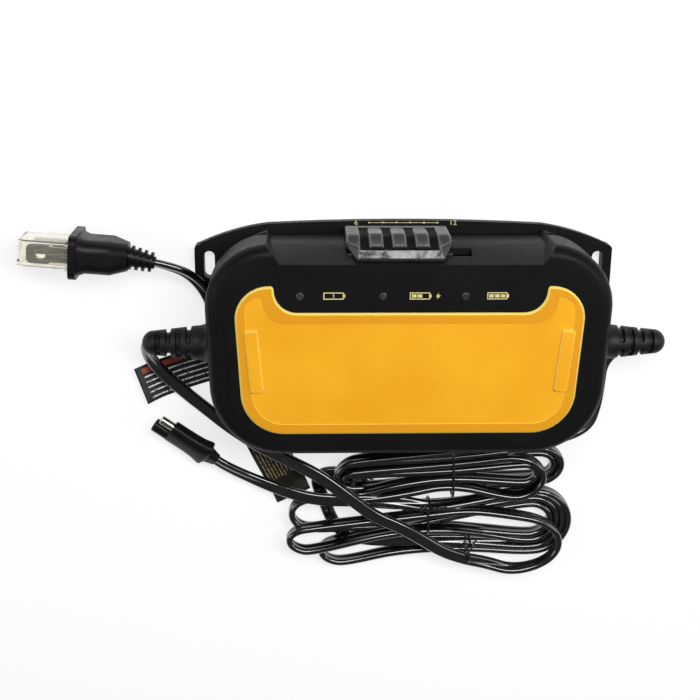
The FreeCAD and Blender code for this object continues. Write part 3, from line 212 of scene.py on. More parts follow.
class Finish:
    """A material with one surface shader and a few procedural patterns."""

    def __init__(self, name, **sockets):
        self.material = bpy.data.materials.new(name)
        self.material.use_nodes = True
        self.tree = self.material.node_tree
        self.shader = self.tree.nodes["Principled BSDF"]
        self.place = None
        for socket, value in sockets.items():
            self.set(socket.replace("_", " "), value)

    def set(self, socket, value):
        """A constant or a Shade on one of the shader's sockets."""
        if isinstance(value, Shade):
            self.tree.links.new(value.socket, self.shader.inputs[socket])
        else:
            self.shader.inputs[socket].default_value = value

    def node(self, kind, settings, inputs):
        """Any node: its settings first, then the values or links of its sockets."""
        made = self.tree.nodes.new(kind)
        for key, value in settings.items():
            if key == "stops":
                for stop, (position, level) in zip(made.color_ramp.elements, value):
                    stop.position = position
                    stop.color = (level, level, level, 1.0)
            else:
                setattr(made, key, value)
        for key, value in inputs.items():
            if isinstance(value, Shade):
                self.tree.links.new(value.socket, made.inputs[key])
            else:
                made.inputs[key].default_value = value
        return made

    def shade(self, kind, inputs, output=0, **settings):
        """One output of a new node."""
        return Shade(self, self.node(kind, settings, inputs).outputs[output])

    def object_place(self):
        """Object coordinates, in metres."""
        if self.place is None:
            self.place = self.shade("ShaderNodeTexCoord", {}, "Object")
        return self.place

    def noise(self, scale, detail=2.0, roughness=0.5):
        return self.shade("ShaderNodeTexNoise", {"Vector": self.object_place(), "Scale": scale,
                                                 "Detail": detail, "Roughness": roughness})

    def cells(self, scale):
        return self.shade("ShaderNodeTexVoronoi", {"Vector": self.object_place(), "Scale": scale}, "Distance")

    def bands(self, scale, direction, distortion=0.0):
        waves = {"Vector": self.object_place(), "Scale": scale, "Distortion": distortion}
        return self.shade("ShaderNodeTexWave", waves, "Fac", bands_direction=direction)

    def streaks(self, scale, stretch):
        """Noise that is drawn out along X, as a brush or a rolling mill leaves it."""
        stretched = {"Vector": self.object_place(), "Scale": (1.0 / stretch, 1.0, 1.0)}
        place = self.shade("ShaderNodeMapping", stretched)
        return self.shade("ShaderNodeTexNoise", {"Vector": place, "Scale": scale})

    def ramp(self, value, low=noise_low, high=noise_high, low_level=0.0, high_level=1.0):
        """Level that goes from low_level to high_level while the value rises from low to high."""
        return self.shade("ShaderNodeValToRGB", {0: value}, stops=((low, low_level), (high, high_level)))

    def axis(self, letter, source="Object"):
        """One part of the place (Object), of the way the surface faces (Normal) or of its own map (UV)."""
        place = self.shade("ShaderNodeTexCoord", {}, source)
        return self.shade("ShaderNodeSeparateXYZ", {0: place}, "XYZ".index(letter))

    def blend(self, mask, first, second):
        """Colour that goes from first to second with the mask. Each is red, green and blue, or a Shade."""
        first, second = (end if isinstance(end, Shade) else (*end, 1.0) for end in (first, second))
        return self.shade("ShaderNodeMix", {0: mask, 6: first, 7: second}, 2, data_type="RGBA")

    def colour(self, mask, first, second):
        self.set("Base Color", self.blend(mask, first, second))

    def roughness(self, pattern, smooth, rough, low=noise_low, high=noise_high):
        self.set("Roughness", self.ramp(pattern, low, high, smooth, rough))

    def worn(self, pattern, dark, light, smooth, rough):
        """Colour and roughness that both follow one pattern."""
        self.colour(pattern, dark, light)
        self.roughness(pattern, smooth, rough)

    def bump(self, height, strength, distance):
        bumps = {"Height": height, "Strength": strength, "Distance": distance}
        self.set("Normal", self.shade("ShaderNodeBump", bumps))


def grey(level):
    return (level, level, level, 1.0)


print("shader helpers ready")

# %% [markdown]
# Both cords are flat two-core vinyl leads: glossy black, with long white highlights and very little
# grain. A faint, slow waviness breaks the highlights the way a cord that was wound hot keeps them.

# %% Cord finish
cord_vinyl = Finish("cord_vinyl", Specular_IOR_Level=0.9, Coat_Weight=1.0, Coat_Roughness=0.1)
wear = cord_vinyl.noise(90.0, 3.0)
cord_vinyl.colour(wear, (0.0015, 0.0015, 0.002), (0.004, 0.004, 0.005))
cord_vinyl.roughness(cord_vinyl.noise(260.0, 4.0), 0.14, 0.24, high=0.75)
cord_vinyl.bump(cord_vinyl.noise(240.0, 2.0), 0.15, 0.00010)
print("cord finish", cord_vinyl.material.name)

# %% [markdown]
# A cord's line is a smooth NURBS spline through the same route as its solid tube. Its mesh follows
# points read from that spline: at each one the flat section is set square to the line, with its wide
# axis turned the way the cord lies there. A loose hank is a row of end bends, right and left in
# turn, that differ in size and height, so its loops fan out past the tie.

# %% Cord helpers
cord_width = 0.0058
cord_thick = 0.0030
core_apart = 0.0014
groove_depth = 0.00038
section_points = 28
bend_angles = np.radians([90.0, 54.0, 18.0, -18.0, -54.0, -90.0])
spline_steps = 7
spline_order = 3
least_step = 1e-6
lean = np.array([0.0, 0.42, -0.91])
on_edge = np.array([0.0, 0.0, -1.0])
upward = np.array([0.0, 0.0, 1.0])
ease_share = 0.25
ease_repeats = 2


def spline_points(controls):
    """Points along a smooth spline with these control points, each place once."""
    curve = bpy.data.curves.new("line", "CURVE")
    curve.dimensions = "3D"
    curve.resolution_u = spline_steps
    spline = curve.splines.new("NURBS")
    spline.points.add(len(controls) - 1)
    spline.points.foreach_set("co", np.c_[controls, np.ones(len(controls))].ravel())
    spline.order_u = spline_order
    spline.use_endpoint_u = True
    path = points_and_faces(curve)[0]
    steps = np.linalg.norm(np.diff(path, axis=0), axis=1)
    return path[np.r_[True, steps > least_step]]


def flat_section():
    """Outline of two round cores side by side, joined by a web with a shallow groove.
    Across: half the width times the cosine of the angle. Up: the core's circle, or the groove's
    floor between the cores, with the sign of the sine."""
    angle = full_turn(section_points)
    across = cord_width / 2 * np.cos(angle)
    core = cord_thick / 2
    from_core = (np.abs(across) - core_apart) / core
    up = core * np.sqrt(np.clip(1 - from_core ** 2, 0, 1))
    web = core - groove_depth
    up = np.where(np.abs(across) < core_apart, np.maximum(up, web), up)
    return across, up * np.sign(np.sin(angle))


def round_section(radius, count):
    """Circle of a few points."""
    angle = full_turn(count)
    return radius * np.cos(angle), radius * np.sin(angle)


def sweep(path, wide, section):
    """Grid of a section carried along a path. Each row is the path's point, plus across times the
    wide axis (made square to the heading), plus up times the thin axis."""
    heading = np.gradient(path, axis=0)
    heading /= np.linalg.norm(heading, axis=1, keepdims=True)
    wide = wide - heading * np.sum(wide * heading, axis=1, keepdims=True)
    wide /= np.linalg.norm(wide, axis=1, keepdims=True)
    thin = np.cross(heading, wide)
    across, up = section
    return path[:, None] + across[None, :, None] * wide[:, None] + up[None, :, None] * thin[:, None]


def eased_along(path, wides):
    """Wide axes of a path's points, from those of its control points. A section looks the same
    when it is turned half round, so each axis first takes the sign nearer to the one before it.
    Then every axis is a mix of itself and its neighbours, twice, which spreads each twist."""
    signs = np.where(np.sum(wides[1:] * wides[:-1], axis=1) < 0, -1.0, 1.0)
    wides = wides * np.r_[1.0, np.cumprod(signs)][:, None]
    for repeat in range(ease_repeats):
        inner = (ease_share * wides[:-2] + (1 - 2 * ease_share) * wides[1:-1]
                 + ease_share * wides[2:])
        wides = np.concatenate([wides[:1], inner, wides[-1:]])
    count = len(wides)
    at_control = np.clip(np.arange(count) - 0.5, 0, count - 2)
    at_path = np.linspace(0, count - 2, len(path))
    return np.stack([np.interp(at_path, at_control, wides[:, k]) for k in range(3)], axis=1)


def flat_wide(points):
    """Wide axis of a cord that lies flat: level, and to the right of its heading."""
    heading = np.gradient(np.array(points), axis=0)
    wide = np.stack([heading[:, 1], -heading[:, 0], np.zeros(len(heading))], axis=1)
    return wide / np.linalg.norm(wide, axis=1, keepdims=True)


def rolled(wides, degrees):
    """Level wide axes, each turned up by an angle."""
    turn = np.radians(degrees)[:, None]
    return wides * np.cos(turn) + upward * np.sin(turn)


def end_bend(side, tip, middle, half, depth, first_z, last_z):
    """Control points and wide axes of one end bend: x = tip - side * depth * (1 - cos angle),
    y = middle + half * sin angle, and z goes evenly from its first to its last height. The cord
    stands on edge at the tip and leans where the runs begin."""
    angles = bend_angles if side < 0 else -bend_angles
    x = tip - side * depth * (1 - np.cos(angles))
    y = middle + half * np.sin(angles)
    z = np.linspace(first_z, last_z, len(angles))
    upright = np.cos(angles)[:, None]
    return np.stack([x, y, z], axis=1), on_edge * upright + lean * (1 - upright)


def hank(turns):
    """Control points and wide axes of a loose hank from its rows. A row that starts with 0 is a
    loop given by its points, which lies flat. Any other row is an end bend and the run after it."""
    points = []
    wides = []
    for side, *row in turns:
        run = np.array(row[-1])
        if side == 0:
            points += [run]
            wides += [flat_wide(run)]
        else:
            bend_points, bend_wides = end_bend(side, *row[:-1])
            points += [bend_points, run]
            wides += [bend_wides, np.tile(lean, (len(run), 1))]
    return metres(np.concatenate(points)), np.concatenate(wides)


def swept(controls, wides, section):
    """Grid of a section carried along the spline of some control points, and the spline's path."""
    path = spline_points(controls)
    return sweep(path, eased_along(path, wides), section), path


def tied_cord(name, start, start_wides, turns, end, end_wides):
    """Piece and path of a cord: its start, its hank and its end, in one sweep."""
    hank_points, hank_wides = hank(turns)
    controls = np.concatenate([start, hank_points, end])
    wides = np.concatenate([start_wides, hank_wides, end_wides])
    grid, path = swept(controls, wides, flat_section())
    return surface(name, grid, "charger", cord_vinyl), path


print("cord width", cord_width)

# %% [markdown]
# The mains cord leaves the right strain relief, folds back under it and runs beneath the case to the
# upper hank. After four turns it leaves on the left, passes under the case's corner and rises to the
# plug. Each row of the table is one end bend: side, tip, middle, half height, depth, first and last
# height over the table, and the points of the run after it, in millimetres.

# %% Mains cord
mains_start = [(97.5, -2.0, 20.0), (105.2, -2.0, 20.0), (107.6, -2.3, 14.2), (103.6, -5.6, 6.6),
               (94.0, -9.8, 2.9), (87.6, -17.0, 2.6), (87.0, -26.5, 2.7), (85.9, -36.5, 3.8),
               (82.4, -46.4, 5.6), (66.0, -51.2, 8.2), (45.0, -52.6, 9.3), (23.5, -54.7, 9.3)]
mains_turns = [
    (-1, -28.6, -68.5, 9.6, 11.0, 9.3, 9.3, [(2.0, -75.2, 9.3), (23.5, -70.4, 9.3)]),
    (1, 63.9, -67.6, 9.9, 14.0, 10.0, 10.0, [(42.0, -58.6, 9.6), (23.5, -61.0, 9.3)]),
    (-1, -26.0, -70.5, 5.6, 8.0, 8.0, 8.0, [(1.0, -70.5, 8.8), (23.5, -67.3, 9.3)]),
    (1, 61.0, -65.8, 4.6, 7.0, 8.8, 8.8, [(23.5, -64.2, 9.3)]),
    (-1, -21.5, -72.3, 4.8, 7.0, 5.0, 4.0, [(23.5, -74.2, 3.3)]),
    (1, 72.6, -63.8, 8.8, 11.0, 3.3, 5.5, [(45.0, -55.6, 8.0), (23.5, -57.8, 9.3)]),
    (-1, -27.8, -68.0, 6.4, 9.0, 6.5, 5.2, [(23.5, -70.5, 3.3)]),
    (1, 69.4, -63.8, 5.9, 8.0, 3.3, 3.3, [(23.5, -60.5, 3.3)]),
]
mains_end = [(-5.0, -56.5, 3.2), (-22.0, -53.2, 2.8), (-47.0, -53.4, 2.6), (-60.5, -50.4, 2.6),
             (-69.8, -42.0, 2.7), (-75.6, -30.0, 2.7), (-78.6, -16.0, 2.8), (-79.4, -3.5, 3.4),
             (-79.9, 8.0, 6.0), (-82.6, 16.4, 8.7), (-87.8, 22.9, 9.2), (-94.2, 28.0, 13.4),
             (-102.9, 30.1, 13.4)]
mains_end_rolls = [20.0, 42.0, 62.0, 66.0]
mains_exit_points = 4
mains_exit_wide = (0.0, 1.0, 0.0)

start_points = metres(mains_start)
end_points = metres(mains_end)
start_wides = flat_wide(start_points)
start_wides[:mains_exit_points] = mains_exit_wide
end_wides = flat_wide(end_points)
end_wides[-len(mains_end_rolls):] = rolled(end_wides[-len(mains_end_rolls):], mains_end_rolls)
mains_cord, mains_path = tied_cord("mains_cord", start_points, start_wides, mains_turns,
                                   end_points, end_wides)
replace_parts(mains_cord, "ac_body_lead", "ac_hank", "ac_plug_lead")

# %% [markdown]
# The output cord leaves the left strain relief, crosses over both hanks and enters the lower hank at
# its second tie. Its first loop is the big one on top. One of its left loops reaches up under that
# crossing and comes down steeply, lying flat. The last run leaves on the left and goes to the
# two-pole connector.

# %% Output cord
output_start = [(-97.5, -2.0, 20.0), (-105.4, -2.2, 20.0), (-108.0, -6.2, 14.6), (-106.6, -14.2, 7.4),
                (-101.2, -22.4, 3.5), (-93.2, -30.2, 2.7), (-84.6, -37.6, 2.6), (-74.6, -46.2, 3.0),
                (-62.6, -53.6, 5.4), (-48.0, -59.8, 9.8), (-36.0, -64.6, 13.6), (-22.6, -75.0, 14.6),
                (-11.4, -84.2, 14.6), (0.2, -89.4, 14.6), (9.3, -95.0, 14.4), (18.5, -101.6, 13.6),
                (29.0, -106.4, 12.0), (40.0, -109.4, 10.4)]
output_turns = [
    (1, 73.2, -99.7, 13.8, 22.0, 9.8, 9.8, [(31.5, -83.0, 9.6), (13.0, -85.4, 9.4), (-9.0, -87.8, 9.4)]),
    (-1, -49.3, -97.4, 5.8, 10.0, 9.3, 9.3, [(-5.8, -94.2, 9.4), (18.6, -92.6, 8.8), (37.0, -96.6, 4.6)]),
    (1, 72.3, -90.4, 11.1, 13.0, 3.3, 3.3, [(13.0, -88.3, 3.3)]),
    (0, [(0.0, -82.6, 3.0), (-10.0, -75.6, 2.4), (-20.0, -70.0, 1.9), (-28.4, -68.2, 1.7),
         (-34.4, -69.0, 1.6), (-36.9, -72.6, 1.6), (-33.4, -81.6, 1.6), (-29.8, -91.6, 1.6),
         (-25.0, -98.0, 2.0), (-15.0, -101.4, 2.6), (4.0, -101.4, 3.3), (31.5, -101.2, 3.3)]),
    (1, 75.2, -91.0, 13.6, 15.0, 3.3, 3.3, [(13.0, -85.2, 3.3)]),
    (-1, -48.2, -86.0, 7.6, 10.0, 6.2, 6.0, [(0.0, -92.8, 3.3), (31.5, -95.2, 3.3)]),
    (1, 69.3, -90.4, 8.1, 11.0, 3.3, 3.3, [(13.0, -91.3, 3.3)]),
    (-1, -35.0, -105.6, 6.0, 11.0, 4.6, 3.3, [(1.0, -105.4, 3.3), (31.5, -104.4, 3.3)]),
    (1, 78.0, -91.6, 15.6, 17.0, 3.3, 3.3, [(32.0, -80.8, 6.4), (13.0, -82.2, 9.4)]),
]
output_end = [(1.5, -79.4, 9.8), (-11.2, -78.2, 10.4), (-26.2, -78.0, 10.9), (-38.0, -77.4, 10.4),
              (-48.5, -75.2, 8.4), (-57.0, -73.0, 5.8), (-66.0, -69.4, 4.6), (-76.5, -62.9, 7.0),
              (-83.8, -57.6, 7.0), (-86.2, -55.8, 7.0)]

connector_lead_points = 4
connector_tip = np.array([-0.1056, -0.0417, 0.0070])
connector_turn = math.radians(-36.0)
connector_roll = math.radians(38.0)
along_connector = np.array([math.cos(connector_turn), math.sin(connector_turn), 0.0])
level_side = np.array([-math.sin(connector_turn), math.cos(connector_turn), 0.0])
across_connector = level_side * math.cos(connector_roll) + upward * math.sin(connector_roll)
out_of_connector = np.cross(along_connector, across_connector)

start_points = metres(output_start)
end_points = metres(output_end)
end_wides = flat_wide(end_points)
end_wides[-connector_lead_points:] = across_connector
output_cord, output_path = tied_cord("output_cord", start_points, flat_wide(start_points), output_turns,
                                     end_points, end_wides)
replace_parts(output_cord, "dc_body_lead", "dc_hank", "dc_connector_lead")

# %% [markdown]
# Each hank is held by thin twist ties: a coated wire that goes once round the strands, with its two
# ends crossed on top. A tie follows its own spline in the plane across the hank. Each row of the
# table is its place along X, its limits in Y and Z, and its two loose ends, in millimetres.

# %% Ties
tie_radius = 0.00055
tie_points = 10
tie_corner = 3.2
tie_aside = (0.6, 0.4, 0.0, 0.0, 0.0, 0.0, 0.0, 0.0, -0.2, -0.6)
tie_lift = (0.5, 0.0, 0.0, 0.0, 0.0, 0.0, 0.0, 0.0, 0.2, 0.3)
ties = [
    ("mains_tie", "ac_hank_tie", 23.5, -77.6, -52.2, 0.6, 12.7,
     [(27.0, -50.5, 8.0), (25.0, -52.4, 11.0)], [(21.6, -51.6, 10.6), (20.0, -50.0, 7.6)]),
    ("output_tie", "dc_hank_tie", 13.0, -96.2, -79.0, 0.6, 12.6,
     [(21.4, -81.4, 13.4), (18.6, -79.4, 15.0), (15.4, -80.0, 14.6)],
     [(10.6, -79.4, 14.2), (9.0, -81.6, 14.6)]),
    ("output_second_tie", "dc_hank_second_tie", 31.5, -110.2, -98.0, 0.6, 14.0,
     [(34.6, -97.4, 12.6), (33.0, -98.0, 13.8)], [(29.6, -99.0, 14.8), (28.8, -97.2, 13.4)]),
]
tie_vinyl = Finish("tie_vinyl", Specular_IOR_Level=0.6, Coat_Weight=0.6, Coat_Roughness=0.06)
tie_vinyl.colour(tie_vinyl.noise(400.0), (0.004, 0.004, 0.004), (0.012, 0.012, 0.012))
tie_vinyl.roughness(tie_vinyl.noise(900.0), 0.15, 0.3)
tie_vinyl.bump(tie_vinyl.bands(900.0, "Y", 2.0), 0.2, 0.0001)


def tie_controls(x, low_y, high_y, low_z, high_z, first_end, last_end):
    """Route of a tie in millimetres: from its first loose end over the crossing on the upper side,
    down to the table, under the strands, up and back over them to the last loose end. The loop
    leans aside and is lifted a little where its two ends cross."""
    inner_low_y = low_y + tie_corner
    inner_high_y = high_y - tie_corner
    inner_low_z = low_z + tie_corner
    inner_high_z = high_z - tie_corner
    y = [inner_high_y, high_y, high_y, inner_high_y, inner_low_y, low_y, low_y, inner_low_y,
         (low_y + high_y) / 2, inner_high_y]
    z = [high_z, inner_high_z, inner_low_z, low_z, low_z, inner_low_z, inner_high_z, high_z, high_z, high_z]
    loop = np.stack([x + np.array(tie_aside), y, z + np.array(tie_lift)], axis=1)
    return metres(np.concatenate([first_end, loop, last_end]))


def twist_tie(name, node, x, low_y, high_y, low_z, high_z, first_end, last_end):
    controls = tie_controls(x, low_y, high_y, low_z, high_z, first_end, last_end)
    wides = np.tile((1.0, 0.0, 0.0), (len(controls), 1))
    wides[:len(first_end)] = upward
    wides[-len(last_end):] = upward
    grid = swept(controls, wides, round_section(tie_radius, tie_points))[0]
    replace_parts(surface(name, grid, "charger", tie_vinyl), node)


for tie in ties:
    twist_tie(*tie)
print("ties", len(ties))

# %% [markdown]
# The case, the face plate, the selector and the plug keep the shape of their solids, but a real
# moulding has no knife edges. Each solid's mesh is loose triangles, so a copy of it is merged, its
# flat faces are joined, and a Bevel modifier rounds what is left sharp. The solid itself stays
# as it is and is hidden.

# %% Softened copies
bevel_angle = math.radians(28.0)
bevel_segments = 3


def softened(name, node, body, finish, edge):
    """Copy of a node with its edges rounded by a width, which stands for the node."""
    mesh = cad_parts[node].data.copy()
    mesh.name = name
    mended(mesh, "merge", "flatten")
    if "custom_normal" in mesh.attributes:
        mesh.attributes.remove(mesh.attributes["custom_normal"])
    piece = new_piece(name, mesh, body, finish, never_sharp)
    bevel = piece.modifiers.new("rounded_edges", "BEVEL")
    bevel.width = edge
    bevel.segments = bevel_segments
    bevel.limit_method = "ANGLE"
    bevel.angle_limit = bevel_angle
    bevel.harden_normals = True
    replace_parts(piece, node)
    print(name, len(mesh.polygons), "faces before its bevel")


# %% [markdown]
# The case is satin black plastic from a spark-eroded mould: near black, with a fine pebbled grain
# that takes the shine off, and a slow unevenness where hands have polished it.

# %% Case
case_edge = 0.00045
case_black = Finish("case_black", Specular_IOR_Level=0.1)
handled = case_black.noise(38.0, 4.0)
case_black.colour(handled, (0.0054, 0.0054, 0.0058), (0.0088, 0.0086, 0.0087))
case_black.roughness(handled * 0.5 + case_black.noise(420.0, 3.0) * 0.5, 0.36, 0.5, 0.35, 0.65)
case_black.bump(case_black.cells(1700.0) + case_black.noise(900.0, 3.0), 0.22, 0.00004)

softened("front_case", "front_shell", "charger", case_black, case_edge)
softened("back_case", "back_shell", "charger", case_black, case_edge)

# %% [markdown]
# The face plate is yellow plastic with a bevelled rim and two finger bars. Its rim is painted paler
# than its middle, as a painted highlight: the colour goes from amber to pale yellow as the surface
# turns away from straight up. The band between the rim and the sunk middle is painted a deeper
# amber, as painted shade on the step. Small rubbed marks and a little dirt keep it from looking new.

# %% Face plate
plate_floor_z = 0.0411
plate_edge = 0.00035
plate_yellow = Finish("plate_yellow", Specular_IOR_Level=0.3)
# Painted highlight: whatever turns away from straight up, such as the rim's bevel, is painted pale yellow.
rim_painted_highlight = plate_yellow.ramp(plate_yellow.axis("Z", "Normal"), 0.74, 0.96, 1.0, 0.0)
millimetres_up = (plate_yellow.axis("Z") - plate_floor_z) * mm_per_metre
# Painted shade: a band a little above the sunk middle is painted a deeper amber.
shaded_band = (plate_yellow.ramp(millimetres_up, 0.12, 0.26)
               * plate_yellow.ramp(millimetres_up, 0.5, 0.8, 1.0, 0.0))
cloudy = plate_yellow.ramp(plate_yellow.noise(26.0, 4.0))
middle = plate_yellow.blend(cloudy, (0.90, 0.40, 0.009), (0.99, 0.50, 0.019))
with_band_shade = plate_yellow.blend(shaded_band * 0.8, middle, (0.78, 0.33, 0.008))
with_rim_highlight = plate_yellow.blend(rim_painted_highlight, with_band_shade, (1.0, 0.78, 0.17))
dirt = plate_yellow.ramp(plate_yellow.noise(210.0, 6.0, 0.65), 0.66, 0.76) * 0.35
plate_yellow.colour(dirt, with_rim_highlight, (0.42, 0.19, 0.01))
plate_yellow.roughness(plate_yellow.noise(300.0, 4.0), 0.36, 0.5)
plate_yellow.bump(plate_yellow.cells(1900.0) * 0.7 + plate_yellow.noise(1200.0, 2.0), 0.2, 0.00003)

softened("yellow_plate", "face_plate", "charger", plate_yellow, plate_edge)

# %% [markdown]
# The selector is a glossier black, rubbed by fingers. Its block keeps the shape of its solid. On its
# front lies a grip, made as heights over the line that the block's front follows from the rim to the
# face: a raised frame with rounded corners, a sunk window with three ribs, and an uneven lip with a
# painted reflection in bright patches. The grip's own map carries two values, not a place: how far
# each point stands above its neighbours, which is painted lighter as wear and painted highlight, and
# a kind that is 1 on the lip, a half on the frame and the ribs, and 0 in the hollows between the ribs,
# which are painted darker as painted shade.

# %% Selector
slider_middle = -4.2
front_line = [(44.02, 7.9), (43.52, 24.0), (41.5, 28.0), (37.77, 38.5)]
line_soft = 6
grip_rows = 150
grip_columns = 190
grip_half = 21.3
grip_waist = 17.0
waist_z = 29.2
waist_soft = 1.9
frame_high = 0.75
frame_round = 1.1
frame_sunk = 0.6
window_high = 0.16
window_half = 15.6
window_from_z = 11.6
window_to_z = 33.4
rib_pitch = 9.2
rib_half = 2.9
rib_from_z = 13.6
rib_to_z = 31.6
rib_low_end = 0.55
rib_high_end = 1.55
lip_z = 34.0
lip_bump = 0.14
step_soft = 0.32
edge_sheen_reach = 4
edge_sheen_height = 0.2
lip_waves = ((1.0, 1.9, 0.7), (0.6, 4.3, -1.1))
grip_sharp_angle = 80.0
selector_edge = 0.0005

selector_black = Finish("selector_black", Specular_IOR_Level=0.55)
handled_plastic = selector_black.noise(170.0, 5.0, 0.6)
selector_black.worn(handled_plastic, (0.003, 0.003, 0.0035), (0.010, 0.010, 0.011), 0.25, 0.42)
selector_black.bump(selector_black.noise(1100.0, 4.0), 0.3, 0.00006)

grip_black = Finish("grip_black", Specular_IOR_Level=0.08, Coat_Roughness=0.2)
kind = grip_black.axis("Y", "UV")
hollow = grip_black.ramp(kind, 0.0, 0.5, 1.0, 0.0)
# Wear and painted highlight: points that stand above their neighbours are painted lighter grey.
wear_and_edge_highlight = grip_black.axis("X", "UV") * grip_black.ramp(grip_black.noise(700.0, 4.0), 0.3, 0.6, 0.4, 1.0)
on_lip = grip_black.ramp(kind, 0.5, 1.0)
# Painted reflection: bright pale patches on the lip.
lip_glint = on_lip * grip_black.ramp(grip_black.noise(150.0, 3.0, 0.5), 0.38, 0.52)
# Painted shade: the hollows between the ribs are darker than the frame and the ribs.
hollow_shaded_black = grip_black.blend(hollow, (0.022, 0.022, 0.023), (0.003, 0.003, 0.0035))
edge_highlit_black = grip_black.blend(wear_and_edge_highlight, hollow_shaded_black, (0.13, 0.13, 0.135))
grip_black.colour(lip_glint, edge_highlit_black, (0.42, 0.42, 0.43))
scuffed = grip_black.ramp(grip_black.noise(300.0, 3.0), low_level=0.2, high_level=0.34)
grip_black.set("Roughness", scuffed + hollow * 0.4)
grip_black.set("Coat Weight", lip_glint * 0.7 + grip_black.ramp(kind, 0.25, 0.5) * 0.3)
grip_black.bump(grip_black.noise(900.0, 4.0), 0.25, 0.00008)


def grip_heights(x, z):
    """Heights in millimetres: the frame's, less the window, plus ribs that rise towards the face,
    plus waves on the lip. The second result is the kind, (1 + share of lip - share of hollow) / 2."""
    window = ((1 - soft_step(np.abs(x), window_half, step_soft)) * soft_step(z, window_from_z, step_soft)
              * (1 - soft_step(z, window_to_z, step_soft)))
    ribs = sum(1 - soft_step(np.abs(x - i * rib_pitch), rib_half, step_soft) for i in (-1, 0, 1))
    ribs = ribs * soft_step(z, rib_from_z, step_soft) * (1 - soft_step(z, rib_to_z, 2 * step_soft))
    rise = np.clip((z - rib_from_z) / (rib_to_z - rib_from_z), 0, 1)
    rib_height = rib_low_end + (rib_high_end - rib_low_end) * rise
    lip = soft_step(z, lip_z, step_soft)
    ripple = sum(share * np.sin(wide * x + high * z) for share, wide, high in lip_waves)
    waves = lip_bump * ripple * lip
    kinds = (1 + lip - window * (1 - ribs)) / 2
    return frame_high - window * (frame_high - window_high - ribs * rib_height) + waves, kinds


def neighbour_mean(values, reach):
    """Mean over a square of cells, with the border repeated."""
    padded = np.pad(values, reach, mode="edge")
    rows, columns = values.shape
    span = range(2 * reach + 1)
    return sum(padded[i:i + rows, j:j + columns] for i in span for j in span) / len(span) ** 2


def selector_grip():
    """Sheet over the front line. Its half width narrows to a waist beside the lip, and it dips under
    the block's surface all round its border, along a quarter of a circle."""
    line = np.array(front_line)
    lengths = np.r_[0, np.cumsum(np.linalg.norm(np.diff(line, axis=0), axis=1))]
    along = np.linspace(0, lengths[-1], grip_rows)
    y, z = (neighbour_mean(np.interp(along, lengths, part)[:, None], line_soft)[:, 0] for part in line.T)
    heading = np.gradient(np.stack([y, z], axis=1), axis=0)
    heading /= np.linalg.norm(heading, axis=1, keepdims=True)
    half = grip_half - (grip_half - grip_waist) * soft_step(z, waist_z, waist_soft)
    x = half[:, None] * np.linspace(-1, 1, grip_columns)
    height, kinds = grip_heights(x, z[:, None] * np.ones(grip_columns))
    border = np.minimum(half[:, None] - np.abs(x), np.minimum(along, lengths[-1] - along)[:, None])
    inside = 1 - np.clip(border / frame_round, 0, 1)
    height = (height + frame_sunk) * np.sqrt(1 - inside ** 2) - frame_sunk
    # How far a point stands above its neighbours, later painted lighter as wear and highlight.
    edge_wear_and_sheen = np.clip((height - neighbour_mean(height, edge_sheen_reach)) / edge_sheen_height, 0, 1)
    points = [slider_middle + x, y[:, None] + height * heading[:, 1:], z[:, None] - height * heading[:, :1]]
    grip = surface("selector_grip", np.stack(points, axis=-1) / mm_per_metre, "selector",
                   grip_black, around=False, capped=False, sharp_angle=grip_sharp_angle)
    own_map(grip.data, edge_wear_and_sheen, kinds)


softened("selector_slide", "selector_slider", "selector", selector_black, selector_edge)
selector_grip()
print("grip", grip_rows, "by", grip_columns)

# %% [markdown]
# A strain relief is a rubber sleeve turned about the cord. Its radius depends on two things: how far
# along it is, and the angle round it. Along it, a flared collar settles on the case and the sleeve
# tapers to a blunt knob. Round it, four grooves are cut away except at two bridges, which change
# sides from groove to groove, so that the sleeve can bend both ways.

# %% Strain reliefs
relief_axis = (-0.0020, 0.0200)
relief_inside = [(0.07185, 0.0004), (0.07185, 0.0068), (0.07385, 0.0068), (0.07385, 0.0055),
                 (0.07985, 0.0055), (0.07985, 0.0088), (0.08015, 0.0094)]
flare_start = 0.08125
flare_height = 0.0024
flare_fade = 0.0016
sleeve_radius = 0.0070
taper_start = 0.0869
relief_tip = 0.1088
knob_radius = 0.0051
knob_length = 0.0048
knob_least_radius = 0.0003
groove_first = 0.0886
groove_count = 4
groove_pitch = 0.0042
groove_width = 0.0018
relief_groove_depth = 0.0015
bridge_half = 0.0017
groove_soft = 0.00025
relief_rows = 150
relief_columns = 128
knob_rows = 14
relief_sharp_angle = 50.0

relief_rubber = Finish("relief_rubber", Specular_IOR_Level=0.35)
bloom = relief_rubber.noise(95.0, 4.0)
relief_rubber.worn(bloom, (0.003, 0.003, 0.0034), (0.0075, 0.0075, 0.008), 0.42, 0.58)
relief_rubber.bump(relief_rubber.noise(1400.0, 4.0), 0.25, 0.00005)


def sleeve_outline():
    """Stations and plain radii: inside steps, then flare = sleeve + height * exp(-distance / fade),
    then an even taper, then a knob whose radius follows a quarter of an ellipse."""
    inside = np.array(relief_inside)
    station = np.linspace(flare_start, relief_tip - knob_length, relief_rows)
    flare = sleeve_radius + flare_height * np.exp(-(station - flare_start) / flare_fade)
    share = np.clip((station - taper_start) / (relief_tip - knob_length - taper_start), 0, 1)
    radius = flare + (knob_radius - sleeve_radius) * share
    turn = np.linspace(0, math.pi / 2, knob_rows)[1:]
    knob_station = station[-1] + knob_length * np.sin(turn)
    knob = np.maximum(radius[-1] * np.cos(turn), knob_least_radius)
    return (np.concatenate([inside[:, 0], station, knob_station]),
            np.concatenate([inside[:, 1], radius, knob]))


